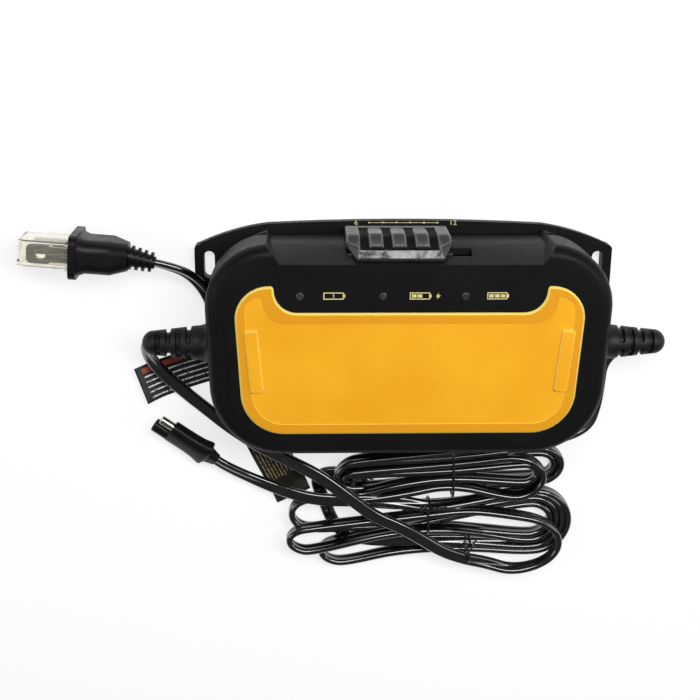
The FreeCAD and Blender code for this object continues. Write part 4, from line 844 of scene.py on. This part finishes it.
def relief_grid(side):
    """Sleeve's points: the plain radius, less the groove's depth where both the groove's band along
    the sleeve and the window round it are open."""
    station, plain = sleeve_outline()
    angle = full_turn(relief_columns)
    radius = np.repeat(plain[:, None], relief_columns, axis=1)
    for i in range(groove_count):
        start = groove_first + i * groove_pitch
        band = (soft_step(station, start, groove_soft)
                * (1 - soft_step(station, start + groove_width, groove_soft)))
        off_axis = np.abs(plain[:, None] * (np.cos(angle) if i % 2 == 0 else np.sin(angle)))
        window = soft_step(off_axis, bridge_half, groove_soft)
        radius -= relief_groove_depth * band[:, None] * window
    middle_y, middle_z = relief_axis
    return np.stack([np.broadcast_to(side * station[:, None], radius.shape),
                     middle_y + radius * np.cos(angle), middle_z + radius * np.sin(angle)], axis=-1)


for side, name, node in ((1, "mains_relief", "ac_strain_relief"), (-1, "output_relief", "dc_strain_relief")):
    relief = surface(name, relief_grid(side), "charger", relief_rubber,
                     sharp_angle=relief_sharp_angle)
    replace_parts(relief, node)
print("reliefs", relief_rows, "by", relief_columns)

# %% [markdown]
# The plug and the connector are moulded round their metal, in a black that is a little rougher than
# the cord's. The blades are nickel plated brass: the plating is drawn out along the blade, with fine
# scratches. The cover is a thin clear sleeve, faintly yellow, that slides off along the blades.

# %% Plug and connector
plug_edge = 0.00045
blade_edge = 0.0002
cover_edge = 0.00015
pin_edge = 0.0005
socket_edge = 0.0001

plug_black = Finish("plug_black", Specular_IOR_Level=0.2)
worn = plug_black.noise(140.0, 4.0)
plug_black.worn(worn, (0.0028, 0.0028, 0.0034), (0.0085, 0.0085, 0.0095), 0.3, 0.45)
plug_black.bump(plug_black.noise(1000.0, 4.0) + plug_black.cells(1600.0), 0.2, 0.00005)

nickel = Finish("nickel", Specular_IOR_Level=0.5)
drawn = nickel.streaks(900.0, 30.0)
nickel.worn(drawn, (0.30, 0.285, 0.25), (0.62, 0.60, 0.54), 0.16, 0.32)
nickel.set("Metallic", nickel.ramp(nickel.noise(300.0, 5.0), 0.2, 0.35, 0.85, 1.0))
nickel.bump(drawn, 0.15, 0.00003)

cover_clear = Finish("cover_clear", Transmission_Weight=0.92, IOR=1.45, Specular_IOR_Level=0.5)
hazy = cover_clear.noise(120.0, 4.0)
cover_clear.colour(hazy, (0.93, 0.90, 0.80), (0.99, 0.97, 0.91))
cover_clear.roughness(cover_clear.noise(500.0, 5.0), 0.02, 0.1, low=0.35)
cover_clear.bump(cover_clear.noise(260.0, 3.0), 0.12, 0.0001)

softened("plug_moulding", "plug_body", "charger", plug_black, plug_edge)
softened("wide_blade", "plug_wide_blade", "charger", nickel, blade_edge)
softened("narrow_blade", "plug_narrow_blade", "charger", nickel, blade_edge)
softened("clear_cover", "plug_blade_cover", "blade_cover", cover_clear, cover_edge)
softened("connector_pin", "dc_connector_pin", "charger", nickel, pin_edge)
softened("connector_socket", "dc_connector_socket", "charger", nickel, socket_edge)

# %% [markdown]
# The connector's moulding is one skin over rounded sections along its axis. It starts inside the
# covered prong's bore, turns over the prong's lip, spreads over the front face to the flat body, and
# flares into the two ears of the grip before it closes round the cord. Each row of the tables is a
# distance from the tip and a radius, or a half width and a half thickness, in millimetres.

# %% Connector moulding
prong_off_axis = 0.0032
prong_rows = [(9.7, 2.45), (0.25, 2.45), (0.0, 2.6), (0.0, 2.8), (0.2, 2.95), (7.0, 2.95)]
moulding_rows = [(7.0, 6.2, 3.05), (7.25, 6.25, 3.25), (7.8, 6.25, 3.35), (13.0, 6.1, 3.4),
                 (18.0, 6.2, 3.45), (21.5, 6.7, 3.5), (24.4, 7.8, 3.7), (25.2, 8.0, 3.7),
                 (25.8, 7.5, 3.6), (26.2, 5.3, 3.2), (26.8, 4.4, 2.9), (29.0, 3.7, 2.3),
                 (30.6, 3.4, 2.0), (31.0, 3.1, 1.8)]
moulding_squareness = 2.9
moulding_columns = 96
rows_between = 5


def on_connector(station, across, out):
    """Points of the connector's own frame, whose axis runs from its tip to the cord."""
    return (connector_tip + station[..., None] * along_connector + across[..., None] * across_connector
            + out[..., None] * out_of_connector)


def moulding_grid():
    """Rows of circles round the prong, then of superellipses round the axis: across = half width *
    |cos|^(2/n) and out = half thickness * |sin|^(2/n), each with its sign."""
    angle = full_turn(moulding_columns)
    prong = metres(prong_rows)[..., None]
    prong_across = prong[:, 1] * np.cos(angle) - prong_off_axis
    prong_out = prong[:, 1] * np.sin(angle)
    table = metres(moulding_rows)
    at = np.linspace(0, len(table) - 1, (len(table) - 1) * rows_between + 1)
    station, width, thick = (np.interp(at, np.arange(len(table)), column)[:, None] for column in table.T)
    power = 2 / moulding_squareness
    across = width * np.sign(np.cos(angle)) * np.abs(np.cos(angle)) ** power
    out = thick * np.sign(np.sin(angle)) * np.abs(np.sin(angle)) ** power
    stations = np.concatenate([prong[:, 0], station]) * np.ones(moulding_columns)
    return on_connector(stations, np.concatenate([prong_across, across]),
                        np.concatenate([prong_out, out]))


connector = surface("connector_moulding", moulding_grid(), "charger", plug_black)
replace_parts(connector, "dc_connector_body")
print("connector moulding rows", len(prong_rows), "and", len(moulding_rows))

# %% [markdown]
# Two folded card tags hang on the output cord. A tag is a sheet whose height over the table depends
# on its own two directions: it is flat where a cord presses on it and curls up towards its free
# ends. The card is dark and coated, ruled with plain lines, which the material draws on the tag's
# own map. Heights are in millimetres, and a curl is its reach, power and rise, and how much more it
# rises on the far side.

# %% Card tags
tag_thick = 0.0003
tag_rows = 48
tag_columns = 32
tag_rest = 0.45
left_tag_corner = (-0.1152, -0.0193)
left_tag_size = (0.0340, 0.0165)
left_tag_turn = math.radians(20.0)
left_tag_curls = [(0.26, 1.6, 2.2, 1.6), (0.5, 1.5, 3.4, -1.2)]
lower_tag_corner = (-0.0542, -0.0829)
lower_tag_size = (0.0165, 0.0380)
lower_tag_turn = math.radians(26.5)
lower_tag_curl = (0.16, 1.5, 1.6, 0.8)
bow_start = 0.3
bow_length = 0.5
bow_high = 0.5
window_edge = 0.01


def card(name, node, corner, size, turn, sign, height, finish):
    """Sheet of points corner + u * first side + v * second side, at the height given by (u, v)."""
    u, v = np.meshgrid(np.linspace(0, 1, tag_rows), np.linspace(0, 1, tag_columns), indexing="ij")
    along = np.array([math.cos(turn), math.sin(turn)]) * size[0]
    aside = np.array([-math.sin(turn), math.cos(turn)]) * size[1] * sign
    flat = np.array(corner) + u[..., None] * along + v[..., None] * aside
    grid = np.concatenate([flat, height(u, v)[..., None] / mm_per_metre], axis=-1)
    mesh = new_mesh(name, grid, grid_faces(tag_rows, tag_columns, False, False))
    own_map(mesh, u, v)
    piece = new_piece(name, mesh, "charger", finish)
    thickness = piece.modifiers.new("card_thickness", "SOLIDIFY")
    thickness.thickness = tag_thick
    thickness.offset = 0.0
    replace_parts(piece, node)


def shown_between(finish, mask, places, windows):
    """A mask, kept only between two limits of each place."""
    for place, (low, high) in zip(places, windows):
        mask = (mask * finish.ramp(place, low, low + window_edge)
                * finish.ramp(place, high, high + window_edge, 1.0, 0.0))
    return mask


def ruled_card(name, paper, ink, lines, axes, windows, head_colour, head_windows):
    """Coated card with plain broken lines. The lines are the tops of a sine wave across the tag,
    shown between two limits each way, and a noise breaks them. A plain bar of colour heads them."""
    finish = Finish(name, Specular_IOR_Level=0.45)
    places = [finish.axis(letter, "UV") for letter in axes]
    wave = places[0].math("SINE", places[0] * (2 * math.pi * lines), 0.0)
    ruled = shown_between(finish, finish.ramp(wave, 0.55, 0.75), places, windows)
    broken = ruled * finish.ramp(finish.noise(900.0, 3.0), 0.38, 0.5)
    fibres = finish.noise(160.0, 5.0)
    patchy = finish.ramp(finish.noise(500.0, 3.0), 0.3, 0.6, 0.6, 1.0)
    head = shown_between(finish, patchy, places, head_windows)
    inked = finish.blend(broken, finish.blend(fibres, *paper), ink)
    finish.colour(head, inked, head_colour)
    finish.roughness(fibres, 0.32, 0.5)
    finish.bump(finish.noise(130.0, 3.0), 0.3, 0.0002)
    return finish


def curl(along, aside, shape):
    """Rise towards an end: (1 - along / reach)^power * (rise + more * aside)."""
    reach, power, rise, more = shape
    return np.clip((reach - along) / reach, 0, 1) ** power * (rise + more * aside)


def left_tag_height(u, v):
    """Flat under the cord, which crosses at a third of its length, and curling up at both ends."""
    left_curl, right_curl = left_tag_curls
    return tag_rest + curl(u, v, left_curl) + curl(1 - u, v, right_curl)


def lower_tag_height(u, v):
    """Flat under both cords, with its free lower end curling up a little."""
    bow = np.sin(math.pi * np.clip((v - bow_start) / bow_length, 0, 1)) * bow_high
    return tag_rest + curl(v, u, lower_tag_curl) + bow


left_card = ruled_card("left_card", ((0.004, 0.004, 0.004), (0.009, 0.008, 0.008)), (0.80, 0.79, 0.77),
                       7, "YX", ((0.28, 0.93), (0.07, 0.94)),
                       (0.42, 0.07, 0.035), ((0.07, 0.21), (0.07, 0.60)))
lower_card = ruled_card("lower_card", ((0.008, 0.007, 0.004), (0.020, 0.017, 0.012)), (0.50, 0.39, 0.18),
                        11, "XY", ((0.05, 0.95), (0.26, 0.86)),
                        (0.62, 0.50, 0.26), ((0.10, 0.90), (0.885, 0.93)))
card("left_tag", "cord_tag_left", left_tag_corner, left_tag_size, left_tag_turn, -1,
     left_tag_height, left_card)
card("lower_tag", "cord_tag_lower", lower_tag_corner, lower_tag_size, lower_tag_turn, 1,
     lower_tag_height, lower_card)
print("tags", tag_rows, "by", tag_columns)

# %% [markdown]
# The marks are printed: a thin film of ink with its own thickness, so that it isn't in the same
# place as the face under it. On the rim behind the selector, a scale runs from 6 to 12. Beside the
# three lamps, small battery signs show a fault, charging and full. Numbers come from Blender's own
# font, made into a mesh, and everything else is prisms over plain outlines.

# %% Printed marks
ink_thick = 0.00004
rim_lift = 0.00012
number_size = 0.0032
ink_sharp_angle = 20.0
mark_shift = 0.00028
rim_middle_y = 0.0460
rim_drop = 0.0015
rim_half = 0.0574
bevel_middle = 0.00095
rim_bevel_z = 0.00505
scale_low_x = -0.0204
scale_high_x = 0.0200
scale_line = (-0.0150, 0.0135)
scale_line_half = 0.00012
scale_dots = 6
scale_dot_radius = 0.00042
dot_sides = 12
sign_y = 0.0233
sign_z = 0.0405
sign_half = (0.0040, 0.00145)
sign_line = 0.0004
sign_pole = 0.0006
sign_bars = 3
fault_x = -0.0306
fault_half = 0.0002
fault_top = 0.0008
fault_dot_y = -0.0006
fault_dot_radius = 0.00024
charging_x = 0.0034
flash_x = 0.0106
flash_outline = [(0.3, 1.3), (-1.0, -0.2), (-0.15, -0.2), (-0.4, -1.3), (1.0, 0.25), (0.1, 0.25)]
full_x = 0.0340


def ink(name, low, high, thin, full, smooth, rough):
    """Printed ink, thinned here and there by a fine noise."""
    finish = Finish(name, Specular_IOR_Level=0.4)
    patchy = finish.ramp(finish.noise(900.0, 4.0), low, high)
    finish.colour(patchy, thin, full)
    finish.roughness(patchy, smooth, rough, 0.0, 1.0)
    return finish


def prism(outline):
    """Points and faces of a film of ink over a flat outline of x, y points."""
    count = len(outline)
    points = [(x, y, z) for z in (-ink_thick, ink_thick) for x, y in outline]
    faces = [tuple(reversed(range(count))), tuple(range(count, 2 * count))]
    faces += [(k, (k + 1) % count, (k + 1) % count + count, k + count) for k in range(count)]
    return np.array(points), faces


def bar(x0, x1, y0, y1):
    return prism([(x0, y0), (x1, y0), (x1, y1), (x0, y1)])


def dot(x, y, radius):
    angle = full_turn(dot_sides)
    return prism(list(zip(x + radius * np.cos(angle), y + radius * np.sin(angle))))


def number(text, x):
    """Points and faces of a number in Blender's own font, centred on x."""
    curve = bpy.data.curves.new("number", "FONT")
    curve.body = text
    curve.size = number_size
    curve.align_x = "CENTER"
    curve.align_y = "CENTER"
    curve.extrude = ink_thick
    points, faces = points_and_faces(curve)
    return points + (x, 0, 0), faces


def printed(name, parts, onto, finish):
    """One piece from flat parts, each point laid onto the object by a function."""
    points = []
    faces = []
    count = 0
    for part_points, part_faces in parts:
        points.append(part_points)
        faces += [tuple(k + count for k in face) for face in part_faces]
        count += len(part_points)
    mesh = mended(new_mesh(name, onto(np.concatenate(points)), faces), "merge", "turn")
    new_piece(name, mesh, "charger", finish, ink_sharp_angle)


def onto_rim(points):
    """Onto the rim's bevel, which leans by half a right angle and follows the rim's arch:
    y = middle - drop * (x / half)^2."""
    x, up, out = points.T
    diagonal = math.sqrt(0.5)
    up = up + mark_shift
    bevel_y = rim_middle_y - rim_drop * (x / rim_half) ** 2 - bevel_middle
    y = bevel_y + (up + out + rim_lift) * diagonal
    return np.stack([x, y, rim_bevel_z + (out + rim_lift - up) * diagonal], axis=1)


def onto_pad(points):
    return points + (0, sign_y, sign_z)


def battery_sign(x, level):
    """Frame with a pole, and bars inside up to a level."""
    half_x, half_y = sign_half
    line = sign_line
    parts = [bar(x - half_x, x + half_x, half_y - line, half_y),
             bar(x - half_x, x + half_x, -half_y, line - half_y),
             bar(x - half_x, x - half_x + line, line - half_y, half_y - line),
             bar(x + half_x - line, x + half_x, line - half_y, half_y - line),
             bar(x + half_x, x + half_x + sign_pole, -half_y / 2, half_y / 2)]
    pitch = (2 * half_x - 3 * line) / sign_bars
    for i in range(level):
        low = x - half_x + 2 * line + i * pitch
        parts.append(bar(low, low + pitch - line, 2 * line - half_y, half_y - 2 * line))
    return parts


def flash(x):
    """Zigzag arrow beside the charging sign."""
    return prism([(x + dx, dy) for dx, dy in metres(flash_outline)])


ink_cream = ink("ink_cream", 0.3, 0.6, (0.46, 0.40, 0.22), (0.72, 0.64, 0.38), 0.35, 0.5)
ink_yellow = ink("ink_yellow", 0.25, 0.55, (0.50, 0.42, 0.16), (0.76, 0.67, 0.31), 0.3, 0.45)

scale = [number("6", scale_low_x), number("12", scale_high_x)]
scale += [bar(*scale_line, -scale_line_half, scale_line_half)]
scale += [dot(x, 0.0, scale_dot_radius) for x in np.linspace(*scale_line, scale_dots)]
printed("scale_marks", scale, onto_rim, ink_cream)

signs = battery_sign(fault_x, 0)
signs += [bar(fault_x - fault_half, fault_x + fault_half, -fault_half, fault_top)]
signs += [dot(fault_x, fault_dot_y, fault_dot_radius)]
signs += battery_sign(charging_x, 2) + [flash(flash_x)]
signs += battery_sign(full_x, sign_bars)
printed("lamp_signs", signs, onto_pad, ink_yellow)
print("printed parts", len(scale), len(signs))

# %% [markdown]
# Everything else is inside the case or keeps its solid's shape, and gets its finish through its own
# material slot. Most finishes differ only in numbers: two colours that a slow noise mixes, two
# roughnesses, how metallic they are, and a grain.

# %% Finishes of the carried-over nodes
wire_pitch = 0.0006
bands_per_scale = 3.0


def plain_finish(name, dark, light, rough, metallic, slow, grain, depth, **sockets):
    """Two colours mixed by a slow noise, roughness from the same noise, and a grain bump."""
    finish = Finish(name, Metallic=metallic, **sockets)
    mixed = finish.ramp(finish.noise(slow, 4.0))
    finish.colour(mixed, dark, light)
    finish.roughness(mixed, *rough, 0.0, 1.0)
    finish.bump(finish.noise(grain, 4.0), 0.25, depth)
    return finish


def board_finish():
    """Green solder mask over copper tracks: two sets of bent bands show through it as paler lines."""
    finish = Finish("board_green", Coat_Weight=0.4, Coat_Roughness=0.2)
    tracks = finish.ramp(finish.bands(60.0, "X", 9.0), 0.86, 0.9)
    crossing = finish.ramp(finish.bands(45.0, "Y", 12.0), 0.9, 0.94)
    copper = tracks + crossing - tracks * crossing
    finish.colour(copper, (0.010, 0.075, 0.030), (0.045, 0.20, 0.065))
    finish.roughness(finish.noise(200.0), 0.3, 0.45)
    finish.bump(copper, 0.4, 0.00005)
    return finish


def wound_finish():
    """Enamelled copper wire laid side by side, as bands across the winding. At a scale of 1 the
    bands come about three to the metre."""
    finish = Finish("coil_copper", Metallic=0.9, Coat_Weight=0.5, Coat_Roughness=0.15)
    turns = finish.bands(1.0 / wire_pitch / bands_per_scale, "Z", 0.3)
    finish.colour(turns, (0.16, 0.05, 0.02), (0.72, 0.33, 0.15))
    finish.roughness(finish.noise(400.0), 0.22, 0.38)
    finish.bump(turns, 0.6, 0.0003)
    return finish


def give(finish, nodes):
    """Puts a finish into every material slot of some nodes."""
    for node in nodes:
        for material_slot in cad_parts[node].material_slots:
            material_slot.material = finish.material


# Name, dark, light, roughness, metallic, slow noise, grain noise, grain depth, other sockets, nodes
node_finishes = [
    ("lens_clear", (0.03, 0.03, 0.032), (0.09, 0.09, 0.095), (0.08, 0.2), 0.0, 420.0, 700.0, 0.00004,
     {"Transmission_Weight": 0.35, "Coat_Weight": 0.6},
     ["led_lens_left", "led_lens_middle", "led_lens_right"]),
    ("lamp_chip", (0.72, 0.68, 0.48), (0.86, 0.84, 0.70), (0.2, 0.35), 0.0, 500.0, 1500.0, 0.00003,
     {}, ["status_leds"]),
    ("inner_black", (0.010, 0.010, 0.010), (0.025, 0.025, 0.025), (0.4, 0.55), 0.0, 200.0, 1500.0, 0.00004,
     {}, ["switch_actuator", "voltage_switch"]),
    ("switch_metal", (0.42, 0.42, 0.43), (0.64, 0.64, 0.63), (0.25, 0.4), 1.0, 400.0, 1800.0, 0.00003,
     {}, ["switch_lever"]),
    ("screw_zinc", (0.40, 0.41, 0.43), (0.66, 0.66, 0.64), (0.2, 0.38), 1.0, 900.0, 2500.0, 0.00003,
     {}, ["case_screws", "board_screws"]),
    ("ferrite_grey", (0.03, 0.03, 0.032), (0.07, 0.07, 0.072), (0.45, 0.65), 0.2, 600.0, 2500.0, 0.00005,
     {}, ["transformer_core", "choke_core"]),
    ("tape_yellow", (0.62, 0.42, 0.05), (0.80, 0.60, 0.12), (0.2, 0.35), 0.0, 150.0, 500.0, 0.00008,
     {"Coat_Weight": 0.3}, ["transformer_winding"]),
    ("sleeve_black", (0.010, 0.010, 0.022), (0.022, 0.022, 0.045), (0.18, 0.3), 0.0, 250.0, 900.0, 0.00005,
     {"Coat_Weight": 0.4}, ["input_capacitor", "output_capacitors"]),
    ("bare_aluminium", (0.58, 0.58, 0.60), (0.78, 0.78, 0.79), (0.28, 0.42), 1.0, 300.0, 1600.0, 0.00004,
     {}, ["heat_sink", "diode_heat_sink"]),
    ("chip_black", (0.008, 0.008, 0.009), (0.022, 0.022, 0.024), (0.45, 0.6), 0.0, 500.0, 2500.0, 0.00004,
     {}, ["power_transistor", "output_diode", "bridge_rectifier", "control_chip"]),
    ("fuse_glass", (0.86, 0.90, 0.90), (0.95, 0.97, 0.97), (0.03, 0.08), 0.0, 300.0, 900.0, 0.00003,
     {"Transmission_Weight": 0.95}, ["fuse"]),
    ("clip_brass", (0.52, 0.38, 0.14), (0.80, 0.66, 0.34), (0.2, 0.35), 1.0, 500.0, 1800.0, 0.00003,
     {}, ["fuse_clips"]),
    ("film_red", (0.30, 0.035, 0.02), (0.50, 0.075, 0.04), (0.15, 0.3), 0.0, 200.0, 600.0, 0.00008,
     {"Coat_Weight": 0.5}, ["film_capacitor"]),
]
for name, *numbers, sockets, nodes in node_finishes:
    give(plain_finish(name, *numbers, **sockets), nodes)
give(board_finish(), ["circuit_board"])
give(wound_finish(), ["choke_winding"])
print("rows of plain finishes", len(node_finishes))

# %% [markdown]
# The wires inside the case are soft too. Each is a round lead on its own spline, from the strain
# relief down to the board.

# %% Inner wires
wire_radius = 0.0009
wire_sides = 14
wire_apart = 0.0016
wire_route = [(71.85, 20.0), (67.2, 20.0), (63.6, 19.4), (60.6, 16.8), (58.4, 15.6), (57.0, 14.6),
              (56.4, 12.8), (56.35, 10.6)]
wire_white = plain_finish("wire_white", (0.62, 0.61, 0.58), (0.80, 0.79, 0.76), (0.3, 0.45), 0.0,
                          300.0, 1200.0, 0.00004)


def inner_wires(name, node, side):
    """Two leads side by side, each swept along a spline through the route's points."""
    route = metres(wire_route)
    leads = []
    for offset in (-wire_apart, wire_apart):
        level = np.full(len(route), relief_axis[0] + offset)
        controls = np.stack([side * route[:, 0], level, route[:, 1]], axis=1)
        wides = np.tile((0.0, 1.0, 0.0), (len(route), 1))
        leads.append(swept(controls, wides, round_section(wire_radius, wire_sides))[0])
    rows, columns = leads[0].shape[:2]
    faces = grid_faces(rows, columns, True, True)
    faces += [[k + rows * columns for k in face] for face in faces]
    mesh = mended(new_mesh(name, np.stack(leads), faces), "turn")
    wires = new_piece(name, mesh, "charger", wire_white)
    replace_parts(wires, node)


inner_wires("mains_inner_wires", "ac_wires", 1)
inner_wires("output_inner_wires", "dc_wires", -1)
print("inner wires", len(wire_route), "points each")

# %% [markdown]

# %% [markdown]
# The light is plain: a dim even world, a small bright lamp above that draws thin highlights along
# the cords, and weaker lamps at the sides. The face mirrors none of them straight into the camera.
# The floor is white, and looks a little whiter, also in metal and through glass, than the light
# alone would make it, but it keeps the shadow.

# %% Light and floor
world_level = 0.12
lamps = [
    ("lamp_left", (-0.62, 0.05, 0.42), (0.25, 0.6), 1.0),
    ("lamp_right", (0.62, 0.10, 0.42), (0.25, 0.6), 1.0),
    ("lamp_key", (0.14, 0.33, 0.70), (0.70, 0.22), 5.0),
]
floor_glow_share = 0.58
floor_glow = 1.25
floor_size = 24.0
floor_drop = 0.0003

scene.view_settings.view_transform = "Standard"
world = bpy.data.worlds.new("studio")
scene.world = world
world.use_nodes = True
world.node_tree.nodes["Background"].inputs["Color"].default_value = grey(1.0)
world.node_tree.nodes["Background"].inputs["Strength"].default_value = world_level
for name, place, size, power in lamps:
    lamp = bpy.data.lights.new(name, "AREA")
    lamp.shape = "RECTANGLE"
    lamp.size, lamp.size_y = size
    lamp.energy = power
    holder = bpy.data.objects.new(name, lamp)
    holder.location = place
    toward = np.array(place) * -1
    flat = math.hypot(toward[0], toward[1])
    holder.rotation_euler = (math.atan2(flat, -toward[2]), 0, math.atan2(-toward[0], toward[1]))
    scene.collection.objects.link(holder)

floor_finish = Finish("floor_white", Base_Color=grey(0.8), Roughness=0.9, Specular_IOR_Level=0.1)
glow = floor_finish.node("ShaderNodeEmission", {}, {"Color": grey(1.0), "Strength": floor_glow})
rays = floor_finish.node("ShaderNodeLightPath", {}, {})
ray_kinds = ("Is Camera Ray", "Is Glossy Ray", "Is Transmission Ray")
camera_ray, glossy_ray, clear_ray = (Shade(floor_finish, rays.outputs[kind]) for kind in ray_kinds)
seen = camera_ray + glossy_ray + clear_ray
mixed = floor_finish.node("ShaderNodeMixShader", {}, {0: seen * floor_glow_share})
floor_finish.tree.links.new(floor_finish.shader.outputs[0], mixed.inputs[1])
floor_finish.tree.links.new(glow.outputs[0], mixed.inputs[2])
floor_finish.tree.links.new(mixed.outputs[0], floor_finish.tree.nodes["Material Output"].inputs["Surface"])
half = floor_size / 2
floor_corners = [(-half, -half), (half, -half), (half, half), (-half, half)]
floor_points = np.array([(x, y, -floor_drop) for x, y in floor_corners])
floor_mesh = new_mesh("floor", floor_points, [(0, 1, 2, 3)])
floor_mesh.materials.append(floor_finish.material)
floor = bpy.data.objects.new("floor", floor_mesh)
scene.collection.objects.link(floor)
print("lamps", len(lamps))
